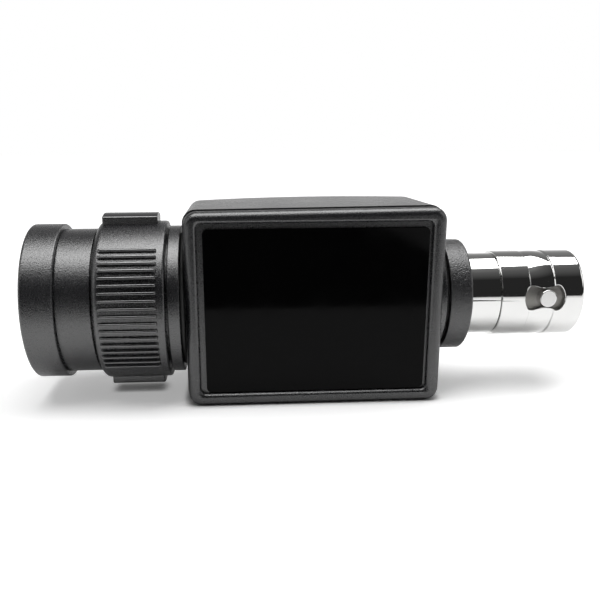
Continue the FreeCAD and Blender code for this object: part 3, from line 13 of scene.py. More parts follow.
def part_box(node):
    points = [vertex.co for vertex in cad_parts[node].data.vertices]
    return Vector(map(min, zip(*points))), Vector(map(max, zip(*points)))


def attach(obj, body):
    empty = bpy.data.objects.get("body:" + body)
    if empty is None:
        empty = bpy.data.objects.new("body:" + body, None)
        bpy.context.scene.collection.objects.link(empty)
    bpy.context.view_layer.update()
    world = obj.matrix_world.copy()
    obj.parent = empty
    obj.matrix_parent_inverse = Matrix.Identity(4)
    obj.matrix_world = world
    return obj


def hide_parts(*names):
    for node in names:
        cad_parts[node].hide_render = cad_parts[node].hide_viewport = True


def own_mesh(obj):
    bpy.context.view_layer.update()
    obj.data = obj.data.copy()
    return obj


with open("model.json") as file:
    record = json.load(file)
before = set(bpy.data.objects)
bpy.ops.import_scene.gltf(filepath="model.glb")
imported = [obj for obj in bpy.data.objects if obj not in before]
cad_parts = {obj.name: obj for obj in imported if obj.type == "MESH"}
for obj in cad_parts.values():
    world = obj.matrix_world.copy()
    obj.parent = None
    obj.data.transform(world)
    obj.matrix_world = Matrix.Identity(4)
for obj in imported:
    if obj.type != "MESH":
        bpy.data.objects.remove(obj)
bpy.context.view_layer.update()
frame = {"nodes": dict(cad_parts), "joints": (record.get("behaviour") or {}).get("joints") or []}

bl_info = {
    "name": "Probe termination box",
    "version": (1, 0, 0),
    "blender": (4, 5, 0),
    "location": "View3D > Sidebar > Probe box",
    "description": "Builds the looks of a probe termination box around its packed frame",
    "category": "Object",
}

MM = 0.001


# Places read from the frame, in millimetres

def span(node):
    """Lowest and highest corner of a node."""
    low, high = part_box(node)
    return Vector(low) / MM, Vector(high) / MM


def ends(node):
    """Left and right end of a node and its largest radius about the axis."""
    low, high = span(node)
    return low.x, high.x, (high.z - low.z) / 2


AXIS = sum(corner.z for corner in span("end_ring")) / 2


# Sizes and colours that a user may change

def length(description, default):
    """A length property given in millimetres."""
    return FloatProperty(description=description, default=default * MM, subtype="DISTANCE", unit="LENGTH")


def angle(description, default):
    """An angle property given in degrees."""
    return FloatProperty(description=description, default=math.radians(default), subtype="ANGLE", unit="ROTATION")


def power(description, default):
    """A lamp's power in watts."""
    return FloatProperty(description=description, default=default, subtype="POWER", unit="POWER")


def colour(description, default):
    """A colour property."""
    return FloatVectorProperty(description=description, default=default, subtype="COLOR", min=0, max=1)


class StudioSettings(bpy.types.PropertyGroup):
    """Floor, lamps and camera."""
    floor_colour: colour("Colour of the floor", (0.92, 0.92, 0.92))
    floor_size: length("Width of the floor", 6000)
    floor_white: FloatProperty(description="White that the camera adds to the floor", default=0.34, min=0)
    # Reach of the painted contact shadow: the floor's glow fades by ambient occlusion near the part
    contact_reach: length("Reach of the dark line where the part rests on the floor", 1.8)
    softbox_power: power("Power of the softbox above", 2.5)
    softbox_turn: angle("Turn of the softbox about the vertical", 32.5)
    fill_power: power("Power of each fill lamp", 0.4)
    lens: FloatProperty(description="Focal length of the camera in millimetres", default=42.306, min=1)
    camera_place: FloatVectorProperty(
        description="Place of the camera", default=(-0.01274, -0.11942, 0.04117), subtype="XYZ", unit="LENGTH")
    camera_yaw: angle("Turn of the camera to the right", 3.30)
    camera_pitch: angle("Tilt of the camera below the horizon", 15.62)
    camera_roll: angle("Roll of the camera", -0.344)
    camera_shift: FloatVectorProperty(description="Shift of the lens", default=(0.042, 0.070), size=2)


class BoxSettings(bpy.types.PropertyGroup):
    """Moulded box."""
    edge_break: length("Rounding of the edges that the solids leave sharp", 0.12)
    plate_break: length("Rounding of the bare plate's edge", 0.06)


class CouplerSettings(bpy.types.PropertyGroup):
    """Turn-lock socket on the left."""
    edge_break: length("Rounding of moulded edges", 0.15)
    bore_radius: length("Radius of the socket's bore", 9.0)
    sleeve_radius: length("Radius of the sleeve under the coupling ring", 10.9)
    spigot_radius: length("Radius of the spigot under the end ring", 11.0)
    ring_radius: length("Radius of the coupling ring between its ribs", 13.2)
    ring_bore: length("Bore of the coupling ring", 10.95)
    shoulder_round: length("Rounding of the coupling ring's left shoulder", 1.2)
    rib_count: IntProperty(description="Number of ribs in each group", default=18, min=1)
    rib_pitch: angle("Angle from one rib to the next", 5.12)
    rib_rise: angle("Angle by which the ribs in front stand above the axis", 2.6)
    rib_width: length("Width of a rib", 0.52)
    rib_height: length("Height of a rib above the ring", 0.5)
    rib_left: length("Bare stretch left of the ribs", 0.95)
    rib_right: length("Bare stretch right of the ribs", 1.2)
    tab_width: length("Width of the tabs above and below", 5.3)
    tab_left: length("Bare stretch left of a tab", 0.8)
    tab_right: length("Bare stretch right of a tab", 1.45)
    tab_crown: length("Height of a tab's middle above its long edges", 0.49)
    tab_round: length("Rounding of a tab's edges", 0.22)
    neck_radius: length("Radius of the threaded neck", 6.5)
    neck_bore: length("Radius of the hole through the neck", 3.2)
    slot_angle: angle("Angle of the slot in which a key turns", 81.2)
    key_clearance: length("Clearance of a key in its slot", 0.1)


class PlugSettings(bpy.types.PropertyGroup):
    """Bayonet plug on the right."""
    edge_break: length("Rounding of turned edges", 0.06)
    seat_bore: length("Bore of the seat ring", 4.8)
    collar_round: length("Rounding of the collar's right edge", 0.45)
    thread_radius: length("Radius of the thread and of the gasket's bore", 4.75)
    body_radius: length("Radius of the bright cylinder beside the collar", 6.99)
    body_gap: length("Gap between the bright cylinder and the sleeve", 0.04)
    hub_radius: length("Radius of the hub inside the sleeve", 5.3)
    groove_depth: length("Depth of the snap ring's groove", 0.4)
    contact_radius: length("Radius of the slotted contact tube", 4.05)
    contact_bore: length("Bore of the contact tube", 3.5)
    shank_bore: length("Bore of the body's threaded end", 2.2)
    slot_width: length("Width of the contact tube's slots", 0.5)
    sleeve_bore: length("Radius of the room inside the sleeve", 6.45)
    sleeve_hub: length("Bore of the sleeve's left web", 5.35)
    sleeve_mouth: length("Bore of the sleeve's lip", 4.95)
    sleeve_wall: length("Thickness of the sleeve's web and lip", 1.0)
    sleeve_round: length("Rounding of the sleeve's open end", 0.7)
    band_left: length("Distance of the crowned band from the sleeve's left end", 4.7)
    band_right: length("Distance of the crowned band from the sleeve's right end", 5.2)
    band_slope: length("Length of the step at each end of the band", 0.15)
    band_step: length("Depth of the crowned band", 0.16)
    band_crown: length("Height of the band's crown", 0.14)
    notch_width: length("Width of the notches in the lip", 2.2)
    window_turn: angle("Angle at which window and pins stand", 3.5)
    window_middle: length("Distance of the windows from the sleeve's left end", 7.3)
    window_side: length("Room beside a pin in its window", 0.83)
    window_rise: length("Room above a pin in its window", 0.88)
    window_waist: length("Bow of the window's long sides", 0.65)
    window_end: length("Bow of the window's ends", 1.15)
    window_round: length("Reach of the bends in the window's corners", 0.6)
    window_chamfer: length("Width of the bright chamfer around a window", 0.1)
    ring_travel: length("Travel of the ring inside the sleeve", 0.8)
    pin_edge: length("Rounding of the drive pins", 0.16)
    pin_rise: length("Height by which the polished pins stand above their solids", 0.5)


class FinishSettings(bpy.types.PropertyGroup):
    """Colours of the finishes."""
    moulding: colour("Black moulded plastic", (0.0135, 0.0135, 0.0152))
    gloss: colour("Bare gloss plate in the recess", (0.0012, 0.0012, 0.0013))
    rubber: colour("Gaskets", (0.012, 0.012, 0.012))
    chrome: colour("Bright plating", (0.86, 0.86, 0.85))
    satin: colour("Satin plating of the ring inside the sleeve", (0.42, 0.41, 0.39))
    steel: colour("Screws and washers", (0.52, 0.51, 0.49))
    brass: colour("Gold-coloured contacts", (0.78, 0.56, 0.26))
    insulator: colour("White insulators", (0.80, 0.79, 0.76))
    board: colour("Solder mask of the board", (0.012, 0.13, 0.05))
    blue: colour("Bodies of the trimmers", (0.02, 0.09, 0.33))
    tan: colour("Bodies of the fixed resistors", (0.55, 0.38, 0.20))
    yellow: colour("Bodies of the fixed capacitors", (0.62, 0.36, 0.05))
    wire_red: colour("Insulation of the signal wires", (0.40, 0.015, 0.01))
    wire_black: colour("Insulation of the ground wire", (0.012, 0.012, 0.012))


def settings(part):
    """The settings of one part of the object."""
    return getattr(bpy.context.scene, "probe_" + part)


class Sizes:
    """The lengths of one part's settings in millimetres, and its angles in radians."""

    def __init__(self, part):
        group = settings(part)
        for name in group.__annotations__:
            value = getattr(group, name)
            is_length = group.bl_rna.properties[name].unit == "LENGTH"
            setattr(self, name, value / MM if is_length else value)


# Node trees

class Number:
    """A number socket: arithmetic on it adds Math nodes."""

    def __init__(self, nodes, socket):
        self.nodes = nodes
        self.socket = socket

    def math(self, operation, *others):
        inputs = dict(enumerate((self,) + others))
        return self.nodes.value(self.nodes.node("ShaderNodeMath", inputs, operation=operation))

    def __add__(self, other):
        return self.math("ADD", other)

    __radd__ = __add__

    def __sub__(self, other):
        return self.math("SUBTRACT", other)

    def __mul__(self, other):
        return self.math("MULTIPLY", other)

    def __truediv__(self, other):
        return self.math("DIVIDE", other)

    def above(self, edge):
        return self.math("GREATER_THAN", edge)

    def below(self, edge):
        return self.math("LESS_THAN", edge)

    def most(self, other):
        return self.math("MAXIMUM", other)

    def size(self):
        return self.math("ABSOLUTE")


class Nodes:
    """Adds nodes to a tree."""

    def __init__(self, tree):
        self.tree = tree

    def node(self, kind, inputs=None, **options):
        """Add a node: its settings first, then the values or links of its sockets."""
        node = self.tree.nodes.new(kind)
        for name, value in options.items():
            setattr(node, name, value)
        for key, value in (inputs or {}).items():
            self.feed(node.inputs[key], value)
        return node

    def feed(self, socket, value):
        """Link or set one input."""
        if isinstance(value, Number):
            value = value.socket
        if isinstance(value, bpy.types.NodeSocket):
            self.tree.links.new(value, socket)
        elif socket.type == "RGBA":
            socket.default_value = tuple(value)[:3] + (1,)
        else:
            socket.default_value = value

    def value(self, node, output=0):
        """A node's output as a number."""
        return Number(self, node.outputs[output])

    def split(self, vector, *names):
        """Parts of a vector as numbers."""
        node = self.node("ShaderNodeSeparateXYZ", {0: vector})
        return [self.value(node, name) for name in names]


FINISHES = {}


class Shader(Nodes):
    """Builds one node material, or the world."""

    def __init__(self, name, world=None):
        self.name = name
        self.holder = world or bpy.data.materials.new(name)
        self.holder.use_nodes = True
        super().__init__(self.holder.node_tree)
        self.tree.nodes.clear()
        self.output = self.node("ShaderNodeOutputWorld" if world else "ShaderNodeOutputMaterial")

    def place(self, scale=(1, 1, 1)):
        """Object coordinates in millimetres, about the axis, stretched."""
        return self.node("ShaderNodeMapping", {
            "Vector": self.node("ShaderNodeTexCoord").outputs["Object"],
            "Location": (0, 0, -AXIS * scale[2]),
            "Scale": tuple(item / MM for item in scale),
        }).outputs[0]

    def noise(self, scale, detail=2, roughness=0.5, stretch=(1, 1, 1)):
        """Noise in the object's millimetres, from 0 to 1."""
        return self.value(self.node("ShaderNodeTexNoise", {
            "Vector": self.place(stretch), "Scale": scale, "Detail": detail, "Roughness": roughness,
        }))

    def cells(self, scale):
        """Distance to cell centres in the object's millimetres."""
        node = self.node("ShaderNodeTexVoronoi", {"Vector": self.place(), "Scale": scale})
        return self.value(node, "Distance")

    def ramp(self, factor, *stops):
        """Map a number through stops of (position, grey)."""
        node = self.node("ShaderNodeValToRGB", {0: factor})
        elements = node.color_ramp.elements
        while len(elements) < len(stops):
            elements.new(1.0)
        for element, (position, grey) in zip(elements, stops):
            element.position = position
            element.color = (grey, grey, grey, 1)
        return self.value(node)

    def mix(self, factor, first, second):
        """Mix two colours."""
        node = self.node("ShaderNodeMix", {"Factor": factor}, data_type="RGBA")
        sockets = [item for item in node.inputs if item.type == "RGBA"]
        self.feed(sockets[0], first)
        self.feed(sockets[1], second)
        return [item for item in node.outputs if item.type == "RGBA"][0]

    def bump(self, height, distance, strength=1.0, before=None):
        """Bump in millimetres."""
        inputs = {"Height": height, "Distance": distance * MM, "Strength": strength}
        if before is not None:
            inputs["Normal"] = before
        return self.node("ShaderNodeBump", inputs).outputs[0]

    def finish(self, node):
        """Link the last node to the output."""
        self.feed(self.output.inputs["Surface"], node.outputs[0])
        return self.holder

    def surface(self, tint, roughness, normal, **constants):
        """Finish with a principled surface and keep it under its name."""
        inputs = {"Base Color": tint, "Roughness": roughness, "Normal": normal}
        inputs.update((name.replace("_", " "), value) for name, value in constants.items())
        FINISHES[self.name] = self.finish(self.node("ShaderNodeBsdfPrincipled", inputs))


def darker(shade, factor):
    """A colour times a factor."""
    return tuple(min(1, item * factor) for item in shade)


def moulded_plastic(name, base, grain, grain_depth, roughness, index):
    """Black moulding with a fine spark-eroded grain, faint dust and handling marks."""
    shader = Shader(name)
    grit = shader.noise(grain)
    broad = shader.noise(0.12, 3)
    dust = shader.cells(1.1).below(0.045)
    tint = shader.mix(broad, darker(base, 0.8), darker(base, 1.25))
    shader.surface(
        shader.mix(dust * 0.25, tint, (0.09, 0.09, 0.088)),
        roughness + (grit - 0.5) * 0.22 + (broad - 0.5) * 0.10,
        shader.bump(grit, grain_depth), IOR=index, Specular_IOR_Level=1.0)


def gloss_black(base):
    """Back-printed gloss plate without print: nearly a mirror with faint orange peel."""
    shader = Shader("gloss_plate")
    peel = shader.noise(0.35, 2, 0.4)
    smudge = shader.noise(0.18, 4, 0.6)
    shader.surface(
        shader.mix(smudge, base, darker(base, 1.6)),
        0.07 + shader.ramp(smudge, (0.45, 0.0), (0.75, 1.0)) * 0.06,
        shader.bump(peel, 0.004, 0.5), IOR=1.49, Specular_IOR_Level=0.08)


def turned_metal(name, shade, roughness, mark_scale, mark_depth, spread):
    """Plated turned metal: fine turning marks around the axis and faint handling haze."""
    shader = Shader(name)
    marks = shader.noise(mark_scale, stretch=(1, 0.03, 0.03))
    haze = shader.noise(0.35, 4, 0.6)
    rough = roughness + (marks - 0.5) * spread + shader.ramp(haze, (0.5, 0.0), (0.8, 1.0)) * spread
    shader.surface(
        shader.mix(haze, darker(shade, 0.96), shade), rough.most(0.02), shader.bump(marks, mark_depth, 0.6),
        Metallic=1.0)


def textured(name, base, tints, haze, grit, roughness, spread, bump, stretch=(1, 1, 1), **constants):
    """Fine grain over a broad haze: rubber, blasted plating or machined insulator."""
    shader = Shader(name)
    haze = shader.noise(*haze)
    grit = shader.noise(*grit, stretch=stretch)
    dark, pale = (darker(base, tint) for tint in tints)
    shader.surface(
        shader.mix(haze, dark, pale), roughness + (grit - 0.5) * spread, shader.bump(grit, *bump), **constants)


def board_mask(base):
    """Green solder mask over copper tracks and weave."""
    shader = Shader("board_mask")
    weave = shader.noise(2.2, stretch=(1, 1, 6))
    across, upward = shader.split(shader.place(), "X", "Z")
    wander = shader.noise(0.12, 1, 0.3)
    lane = ((upward * 0.42 + wander * 1.6).math("FRACT") - 0.5).size()
    column = ((across * 0.23 + wander).math("FRACT") - 0.5).size()
    tracks = lane.above(0.43).most(column.above(0.46))
    tint = shader.mix(tracks * 0.75, base, darker(base, 2.4))
    shader.surface(
        shader.mix(weave * 0.25, tint, darker(base, 0.6)), 0.26 + (weave - 0.5) * 0.1,
        shader.bump(tracks, 0.03, 0.6, shader.bump(weave, 0.006, 0.5)))


def glazed(name, shade, roughness, grain):
    """Dipped or moulded component body with slight unevenness."""
    shader = Shader(name)
    blotch = shader.noise(grain, 3)
    fine = shader.noise(grain * 6)
    shader.surface(
        shader.mix(blotch, darker(shade, 0.85), darker(shade, 1.1)), roughness + (blotch - 0.5) * 0.18,
        shader.bump(blotch + fine * 0.3, 0.02, 0.5))


def banded_resistor(base):
    """Resistor body with plain colour bands across it and tinned leads."""
    shader = Shader("resistor_body")
    across, = shader.split(shader.place(), "X")
    tint = base
    half_band, half_body = 0.32, 3.25
    for middle, shade in (
        (-2.3, (0.30, 0.06, 0.02)), (-1.1, (0.02, 0.02, 0.02)), (0.0, (0.5, 0.10, 0.02)), (2.2, (0.45, 0.30, 0.06)),
    ):
        tint = shader.mix((across - middle).size().below(half_band), tint, shade)
    lead = across.size().above(half_body)
    blotch = shader.noise(2.5, 3)
    shader.surface(
        shader.mix(lead, tint, (0.6, 0.6, 0.58)), 0.3 + (blotch - 0.5) * 0.15, shader.bump(blotch, 0.02, 0.4),
        Metallic=lead)


def make_finishes():
    """Make every finish once."""
    finish = settings("finish")
    for name, *values in (
        ("case_moulding", 8.0, 0.03, 0.28, 1.56),
        ("coupler_moulding", 7.0, 0.042, 0.26, 1.64),
        ("collar_moulding", 4.6, 0.1, 0.31, 1.58),
        ("rib_moulding", 8.0, 0.008, 0.2, 1.75),
    ):
        moulded_plastic(name, finish.moulding, *values)
    for values in (
        ("bright_plating", finish.chrome, 0.045, 24, 0.0012, 0.03),
        ("inner_plating", finish.chrome, 0.16, 18, 0.002, 0.08),
        ("pin_plating", darker(finish.chrome, 0.92), 0.1, 20, 0.002, 0.06),
        ("zinc_steel", finish.steel, 0.32, 12, 0.006, 0.12),
        ("contact_plating", finish.brass, 0.2, 20, 0.002, 0.08),
    ):
        turned_metal(*values)
    for values in (
        ("trimmer_blue", finish.blue, 0.34, 3.0),
        ("capacitor_yellow", finish.yellow, 0.28, 1.6),
        ("wire_red", finish.wire_red, 0.4, 3.0),
        ("wire_black", finish.wire_black, 0.45, 3.0),
    ):
        glazed(*values)
    gloss_black(finish.gloss)
    textured("seal_rubber", finish.rubber, (1, 2.2), (1.2, 4, 0.6), (9,), 0.62, 0.25, (0.02, 0.8))
    textured(
        "satin_plating", finish.satin, (0.85, 1.12), (0.5, 3), (14, 3, 0.6), 0.62, 0.2, (0.01, 0.7), Metallic=0.9)
    textured(
        "insulator_white", finish.insulator, (0.94, 1), (0.6, 3), (18,), 0.38, 0.12, (0.003, 0.5), (1, 0.02, 0.02),
        Subsurface_Weight=0.15, Subsurface_Radius=(0.0012, 0.0011, 0.001), Subsurface_Scale=1.0)
    board_mask(finish.board)
    banded_resistor(finish.tan)


# Meshes and pieces

def linked(name, data):
    """A new object in the scene."""
    item = bpy.data.objects.new(name, data)
    bpy.context.scene.collection.objects.link(item)
    return item


def settled(item, name):
    """The mesh that an object's modifiers make. The object goes."""
    bpy.context.view_layer.update()
    mesh = bpy.data.meshes.new_from_object(item.evaluated_get(bpy.context.evaluated_depsgraph_get()))
    mesh.name = name
    item.modifiers.clear()
    bpy.data.objects.remove(item)
    return mesh


def add_piece(name, mesh, body, finish, node=None):
    """Link a finished mesh, give it its finish and let it ride and replace."""
    piece = linked(name, mesh)
    mesh.materials.clear()
    mesh.materials.append(FINISHES[finish])
    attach(piece, body)
    if node:
        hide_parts(node)
    return piece


def rounded_outline(corners, default):
    """Segments (start, start normal, end, end normal) of a closed outline whose corners are rounded.

    A corner is (x, y) or (x, y, rounding); the outline runs counterclockwise."""
    points = []
    for index, corner in enumerate(corners):
        here = Vector(corner[:2])
        before = Vector(corners[index - 1][:2])
        after = Vector(corners[(index + 1) % len(corners)][:2])
        along = (here - before).normalized()
        onward = (after - here).normalized()
        turn = math.atan2(along.x * onward.y - along.y * onward.x, along.dot(onward))
        size = corner[2] if len(corner) > 2 else default
        first = Vector((along.y, -along.x))
        last = Vector((onward.y, -onward.x))
        if size <= 0 or abs(turn) < 0.02:
            points.append((here, first, last))
            continue
        room = 0.48 * min((here - before).length, (after - here).length)
        reach = min(size * math.tan(abs(turn) / 2), room)
        radius = reach / math.tan(abs(turn) / 2) * math.copysign(1, turn)
        centre = here - along * reach - first * radius
        steps = max(2, round(abs(turn) / math.radians(15)))
        for step in range(steps + 1):
            part = turn * step / steps
            normal = Vector((
                first.x * math.cos(part) - first.y * math.sin(part),
                first.x * math.sin(part) + first.y * math.cos(part),
            ))
            points.append((centre + normal * radius, normal, normal))
    segments = []
    for index, (start, _, leaving) in enumerate(points):
        end, arriving, _ = points[(index + 1) % len(points)]
        if (end - start).length > 1e-6:
            segments.append((start, leaving, end, arriving))
    return segments


def revolved_mesh(name, segments, steps):
    """Turn an outline of (x, radius) in millimetres about the axis, with exact normals."""
    mesh = bpy.data.meshes.new(name)
    angles = [2 * math.pi * step / steps for step in range(steps)]
    turns = [(math.cos(part), math.sin(part)) for part in angles]
    rings = []
    vertices = []
    for begin, _, _, _ in segments:
        if begin.y < 1e-6:
            rings.append([len(vertices)] * steps)
            vertices.append((begin.x * MM, 0, AXIS * MM))
            continue
        rings.append(list(range(len(vertices), len(vertices) + steps)))
        vertices.extend(
            (begin.x * MM, begin.y * cosine * MM, (AXIS + begin.y * sine) * MM) for cosine, sine in turns)
    faces = []
    normals = []
    for index, (begin, leaving, end, arriving) in enumerate(segments):
        if begin.y < 1e-6 and end.y < 1e-6:
            continue
        low = rings[index]
        high = rings[(index + 1) % len(segments)]
        for step in range(steps):
            after = (step + 1) % steps
            corners = [
                (low[step], leaving, step), (high[step], arriving, step),
                (high[after], arriving, after), (low[after], leaving, after),
            ]
            if begin.y < 1e-6:
                corners.pop(3)
            elif end.y < 1e-6:
                corners.pop(1)
            faces.append([item[0] for item in corners])
            normals.extend((way.x, way.y * turns[turn][0], way.y * turns[turn][1]) for _, way, turn in corners)
    mesh.from_pydata(vertices, [], faces)
    mesh.shade_smooth()
    mesh.normals_split_custom_set(normals)
    mesh.validate(clean_customdata=False)
    return mesh


def cut_mesh(mesh, cutters, segments):
    """Cut shapes out of a turned mesh and give what is left its exact normals again."""
    target = linked("target", mesh)
    helpers = [linked("cutter", cutter) for cutter in cutters]
    for helper in helpers:
        modifier = target.modifiers.new("cut", "BOOLEAN")
        modifier.operation = "DIFFERENCE"
        modifier.solver = "EXACT"
        modifier.object = helper
    result = settled(target, mesh.name)
    for helper in helpers:
        bpy.data.objects.remove(helper)
    restore_normals(result, segments)
    return result


def vectors(items, name):
    """One vector of every item, as rows."""
    rows = np.empty(len(items) * 3, dtype=np.float32)
    items.foreach_get(name, rows)
    return rows.reshape(-1, 3)


def restore_normals(mesh, segments):
    """Exact normals where a face lies on the turned outline, and smooth ones by angle on the cuts."""
    mesh.shade_smooth()
    mesh.set_sharp_from_angle(angle=math.radians(32))
    count = len(mesh.loops)
    result = vectors(mesh.corner_normals, "vector")
    owner = np.empty(count, dtype=np.int32)
    mesh.loops.foreach_get("vertex_index", owner)
    place = (vectors(mesh.vertices, "co") / MM)[owner]
    radius = np.hypot(place[:, 1], place[:, 2] - AXIS)
    flat = np.stack([place[:, 0], radius], axis=1)
    sides = [polygon.loop_total for polygon in mesh.polygons]
    face_normals = np.repeat(vectors(mesh.polygons, "normal"), sides, axis=0)
    best = np.full(count, -2.0)
    safe = np.maximum(radius, 1e-6)
    around = np.stack([place[:, 1] / safe, (place[:, 2] - AXIS) / safe], axis=1)
    near, alike = 0.004, 0.94
    for segment in segments:
        begin, first, end, last = (np.array(item) for item in segment)
        along = end - begin
        part = np.clip(((flat - begin) @ along) / (along @ along), 0, 1)
        away = np.linalg.norm(flat - (begin + part[:, None] * along), axis=1)
        way = first + part[:, None] * (last - first)
        way /= np.linalg.norm(way, axis=1)[:, None]
        full = np.stack([way[:, 0], way[:, 1] * around[:, 0], way[:, 1] * around[:, 1]], axis=1)
        fit = np.einsum("ij,ij->i", full, face_normals)
        better = (away < near) & (fit > best) & (fit > alike)
        result[better] = full[better]
        best[better] = fit[better]
    mesh.normals_split_custom_set([tuple(item) for item in result])


def closed_mesh(name, rows):
    """Closed mesh over rows of points, with a face at each end."""
    builder = bmesh.new()
    rings = [[builder.verts.new(point) for point in row] for row in rows]
    for low, high in zip(rings, rings[1:]):
        for index in range(len(low)):
            after = (index + 1) % len(low)
            builder.faces.new((low[index], low[after], high[after], high[index]))
    builder.faces.new(rings[0])
    builder.faces.new(rings[-1])
    bmesh.ops.recalc_face_normals(builder, faces=builder.faces)
    return built(builder, name)


def built(builder, name):
    """The mesh of a builder, which goes."""
    mesh = bpy.data.meshes.new(name)
    builder.to_mesh(mesh)
    builder.free()
    return mesh


def wedge(left, right, inner, outer, middle, opening, steps=24):
    """Cutter about the axis: a sector from inner to outer radius, centred on an angle from +Y towards +Z."""
    rows = []
    for step in range(steps + 1):
        turn = middle + opening * (step / steps - 0.5)
        rows.append([
            (x * MM, radius * math.cos(turn) * MM, (AXIS + radius * math.sin(turn)) * MM)
            for x, radius in ((left, inner), (right, inner), (right, outer), (left, outer))
        ])
    return closed_mesh("wedge", rows)


def block(left, right, half_width, half_depth, matrix):
    """Cutter: a block in its own millimetres, put in place."""
    outline = [(left, -half_width), (right, -half_width), (right, half_width), (left, half_width)]
    mesh = closed_mesh("block", [[(x, y, z) for x, y in outline] for z in (-half_depth, half_depth)])
    mesh.transform(Matrix.Scale(MM, 4) @ matrix)
    return mesh


def turned_piece(name, node, finish, corners, edge=0.05, steps=192, cutters=(), body="housing", smooth=False):
    """Turned ring or rod from its outline, cut where needed."""
    segments = rounded_outline(corners, edge)
    if smooth:
        segments = smooth_run(segments)
    mesh = revolved_mesh(name, segments, steps)
    if cutters:
        mesh = cut_mesh(mesh, cutters, segments)
    add_piece(name, mesh, body, finish, node)


def plain_ring(name, node, finish, bore, left_round, right_round, steps=160):
    """Ring from a bore up to the radius of its node."""
    left, right, radius = ends(node)
    turned_piece(name, node, finish, [
        (left, bore, 0), (right, bore, 0), (right, radius, right_round), (left, radius, left_round),
    ], steps=steps)


def smooth_run(segments, limit=math.radians(6)):
    """Average the normals where two segments meet at a small angle."""
    result = [list(item) for item in segments]
    for before, after in zip(result, result[1:] + result[:1]):
        if before[3].angle(after[1], 0) < limit:
            before[3] = after[1] = (before[3] + after[1]).normalized()
    return result


def bevelled(mesh, width, steps, limit):
    """A mesh with its sharp edges rounded."""
    mesh.shade_smooth()
    helper = linked("helper", mesh)
    bevel = helper.modifiers.new("edges", "BEVEL")
    bevel.width = width
    bevel.segments = steps
    bevel.limit_method = "ANGLE"
    bevel.angle_limit = math.radians(limit)
    bevel.harden_normals = True
    return settled(helper, mesh.name)


def copied_piece(name, node, finish, width, steps=3, body="housing"):
    """Copy of a solid with its flat faces whole and its sharp edges broken."""
    builder = bmesh.new()
    builder.from_mesh(frame["nodes"][node].data)
    bmesh.ops.remove_doubles(builder, verts=builder.verts, dist=2e-6)
    flat = math.radians(0.4)
    bmesh.ops.dissolve_limit(builder, angle_limit=flat, verts=builder.verts, edges=builder.edges)
    mesh = built(builder, node)
    if "custom_normal" in mesh.attributes:
        mesh.attributes.remove(mesh.attributes["custom_normal"])
    return add_piece(name, bevelled(mesh, width * MM, steps, 50), body, finish, node)


# Stage

def flat_sheet(name, left, front, right, back, height):
    """A level rectangle of the studio."""
    mesh = bpy.data.meshes.new(name)
    corners = [(left, front, height), (right, front, height), (right, back, height), (left, back, height)]
    mesh.from_pydata(corners, [], [(0, 1, 2, 3)])
    return linked(name, mesh)


def make_floor(studio):
    """Pale floor that stays white to the camera and keeps the shadow, with a painted contact shadow where the part
    rests.
    """
    half = studio.floor_size / 2
    floor = flat_sheet("studio_floor", -half, -half, half, half, 0)
    shader = Shader("studio_floor")
    speckle = shader.noise(0.02)
    diffuse = shader.node("ShaderNodeBsdfDiffuse", {
        "Color": shader.mix(speckle, darker(studio.floor_colour, 0.99), studio.floor_colour),
    })
    path = shader.node("ShaderNodeLightPath")
    seen = shader.value(path, "Is Camera Ray").most(shader.value(path, "Is Transmission Ray"))
    seen = seen.most(shader.value(path, "Is Glossy Ray") * 0.25)
    across, back = shader.split(shader.place(), "X", "Y")
    away = (across * across + back * back).math("SQRT")
    far = shader.ramp(away / 1000, (0.0, 0.0), (0.10, 0.0), (0.30, 0.30), (0.60, 0.60), (1.0, 1.0))
    # Ambient occlusion dims the camera's glow next to the part: a painted contact shadow
    contact = shader.node("ShaderNodeAmbientOcclusion", {"Distance": studio.contact_reach}, samples=8)
    painted_contact_shadow = shader.ramp(shader.value(contact, "AO"), (0.0, 0.0), (0.5, 0.05), (0.7, 0.35), (0.92, 1.0))
    glow = shader.node("ShaderNodeEmission", {
        "Color": (1, 1, 1), "Strength": seen * (painted_contact_shadow * studio.floor_white + far),
    })
    both = shader.node("ShaderNodeAddShader", {0: diffuse.outputs[0], 1: glow.outputs[0]})
    floor.data.materials.append(shader.finish(both))
    make_gloss_only_card()


def make_gloss_only_card():
    """Black card on the floor in front, out of the picture, that only gloss shows: it paints a dark reflection in
    glossy surfaces.
    """
    card = flat_sheet("studio_card", -0.110, -0.420, 0.065, -0.080, 0.0002)
    shader = Shader("studio_card")
    felt = shader.mix(shader.noise(2), (0.008, 0.008, 0.008), (0.016, 0.016, 0.016))
    card.data.materials.append(shader.finish(shader.node("ShaderNodeBsdfDiffuse", {"Color": felt})))
    # Hidden from all rays but gloss, the card paints only a dark reflection
    card.visible_camera = False
    card.visible_diffuse = False
    card.visible_shadow = False
    card.visible_transmission = False
    return card


def make_world():
    """White backdrop for the camera, and a studio that is dark in front and white low behind."""
    world = bpy.data.worlds.new("studio")
    bpy.context.scene.world = world
    shader = Shader("studio", world)
    ways = shader.node("ShaderNodeTexCoord").outputs["Generated"]
    back, upward = shader.split(ways, "Y", "Z")
    depth = shader.ramp(back * 0.5 + 0.5, (0.0, 0.0), (0.50, 0.0), (0.62, 0.6), (0.80, 1.0))
    height = shader.ramp(
        upward, (0.0, 1.0), (0.12, 0.95), (0.24, 0.55), (0.39, 0.30), (0.56, 0.20), (1.0, 0.10))
    crown = shader.ramp(upward, (0.70, 0.0), (0.88, 0.08), (0.985, 0.22), (1.0, 0.24))
    room = (depth * height * 0.95).most(crown) + 0.02
    path = shader.node("ShaderNodeLightPath")
    seen = shader.value(path, "Is Camera Ray").most(shader.value(path, "Is Transmission Ray"))
    shade = shader.mix(seen, shader.mix(room, (0, 0, 0), (1, 1, 1)), (1, 1, 1))
    shader.finish(shader.node("ShaderNodeBackground", {"Color": shade, "Strength": 1.0}))


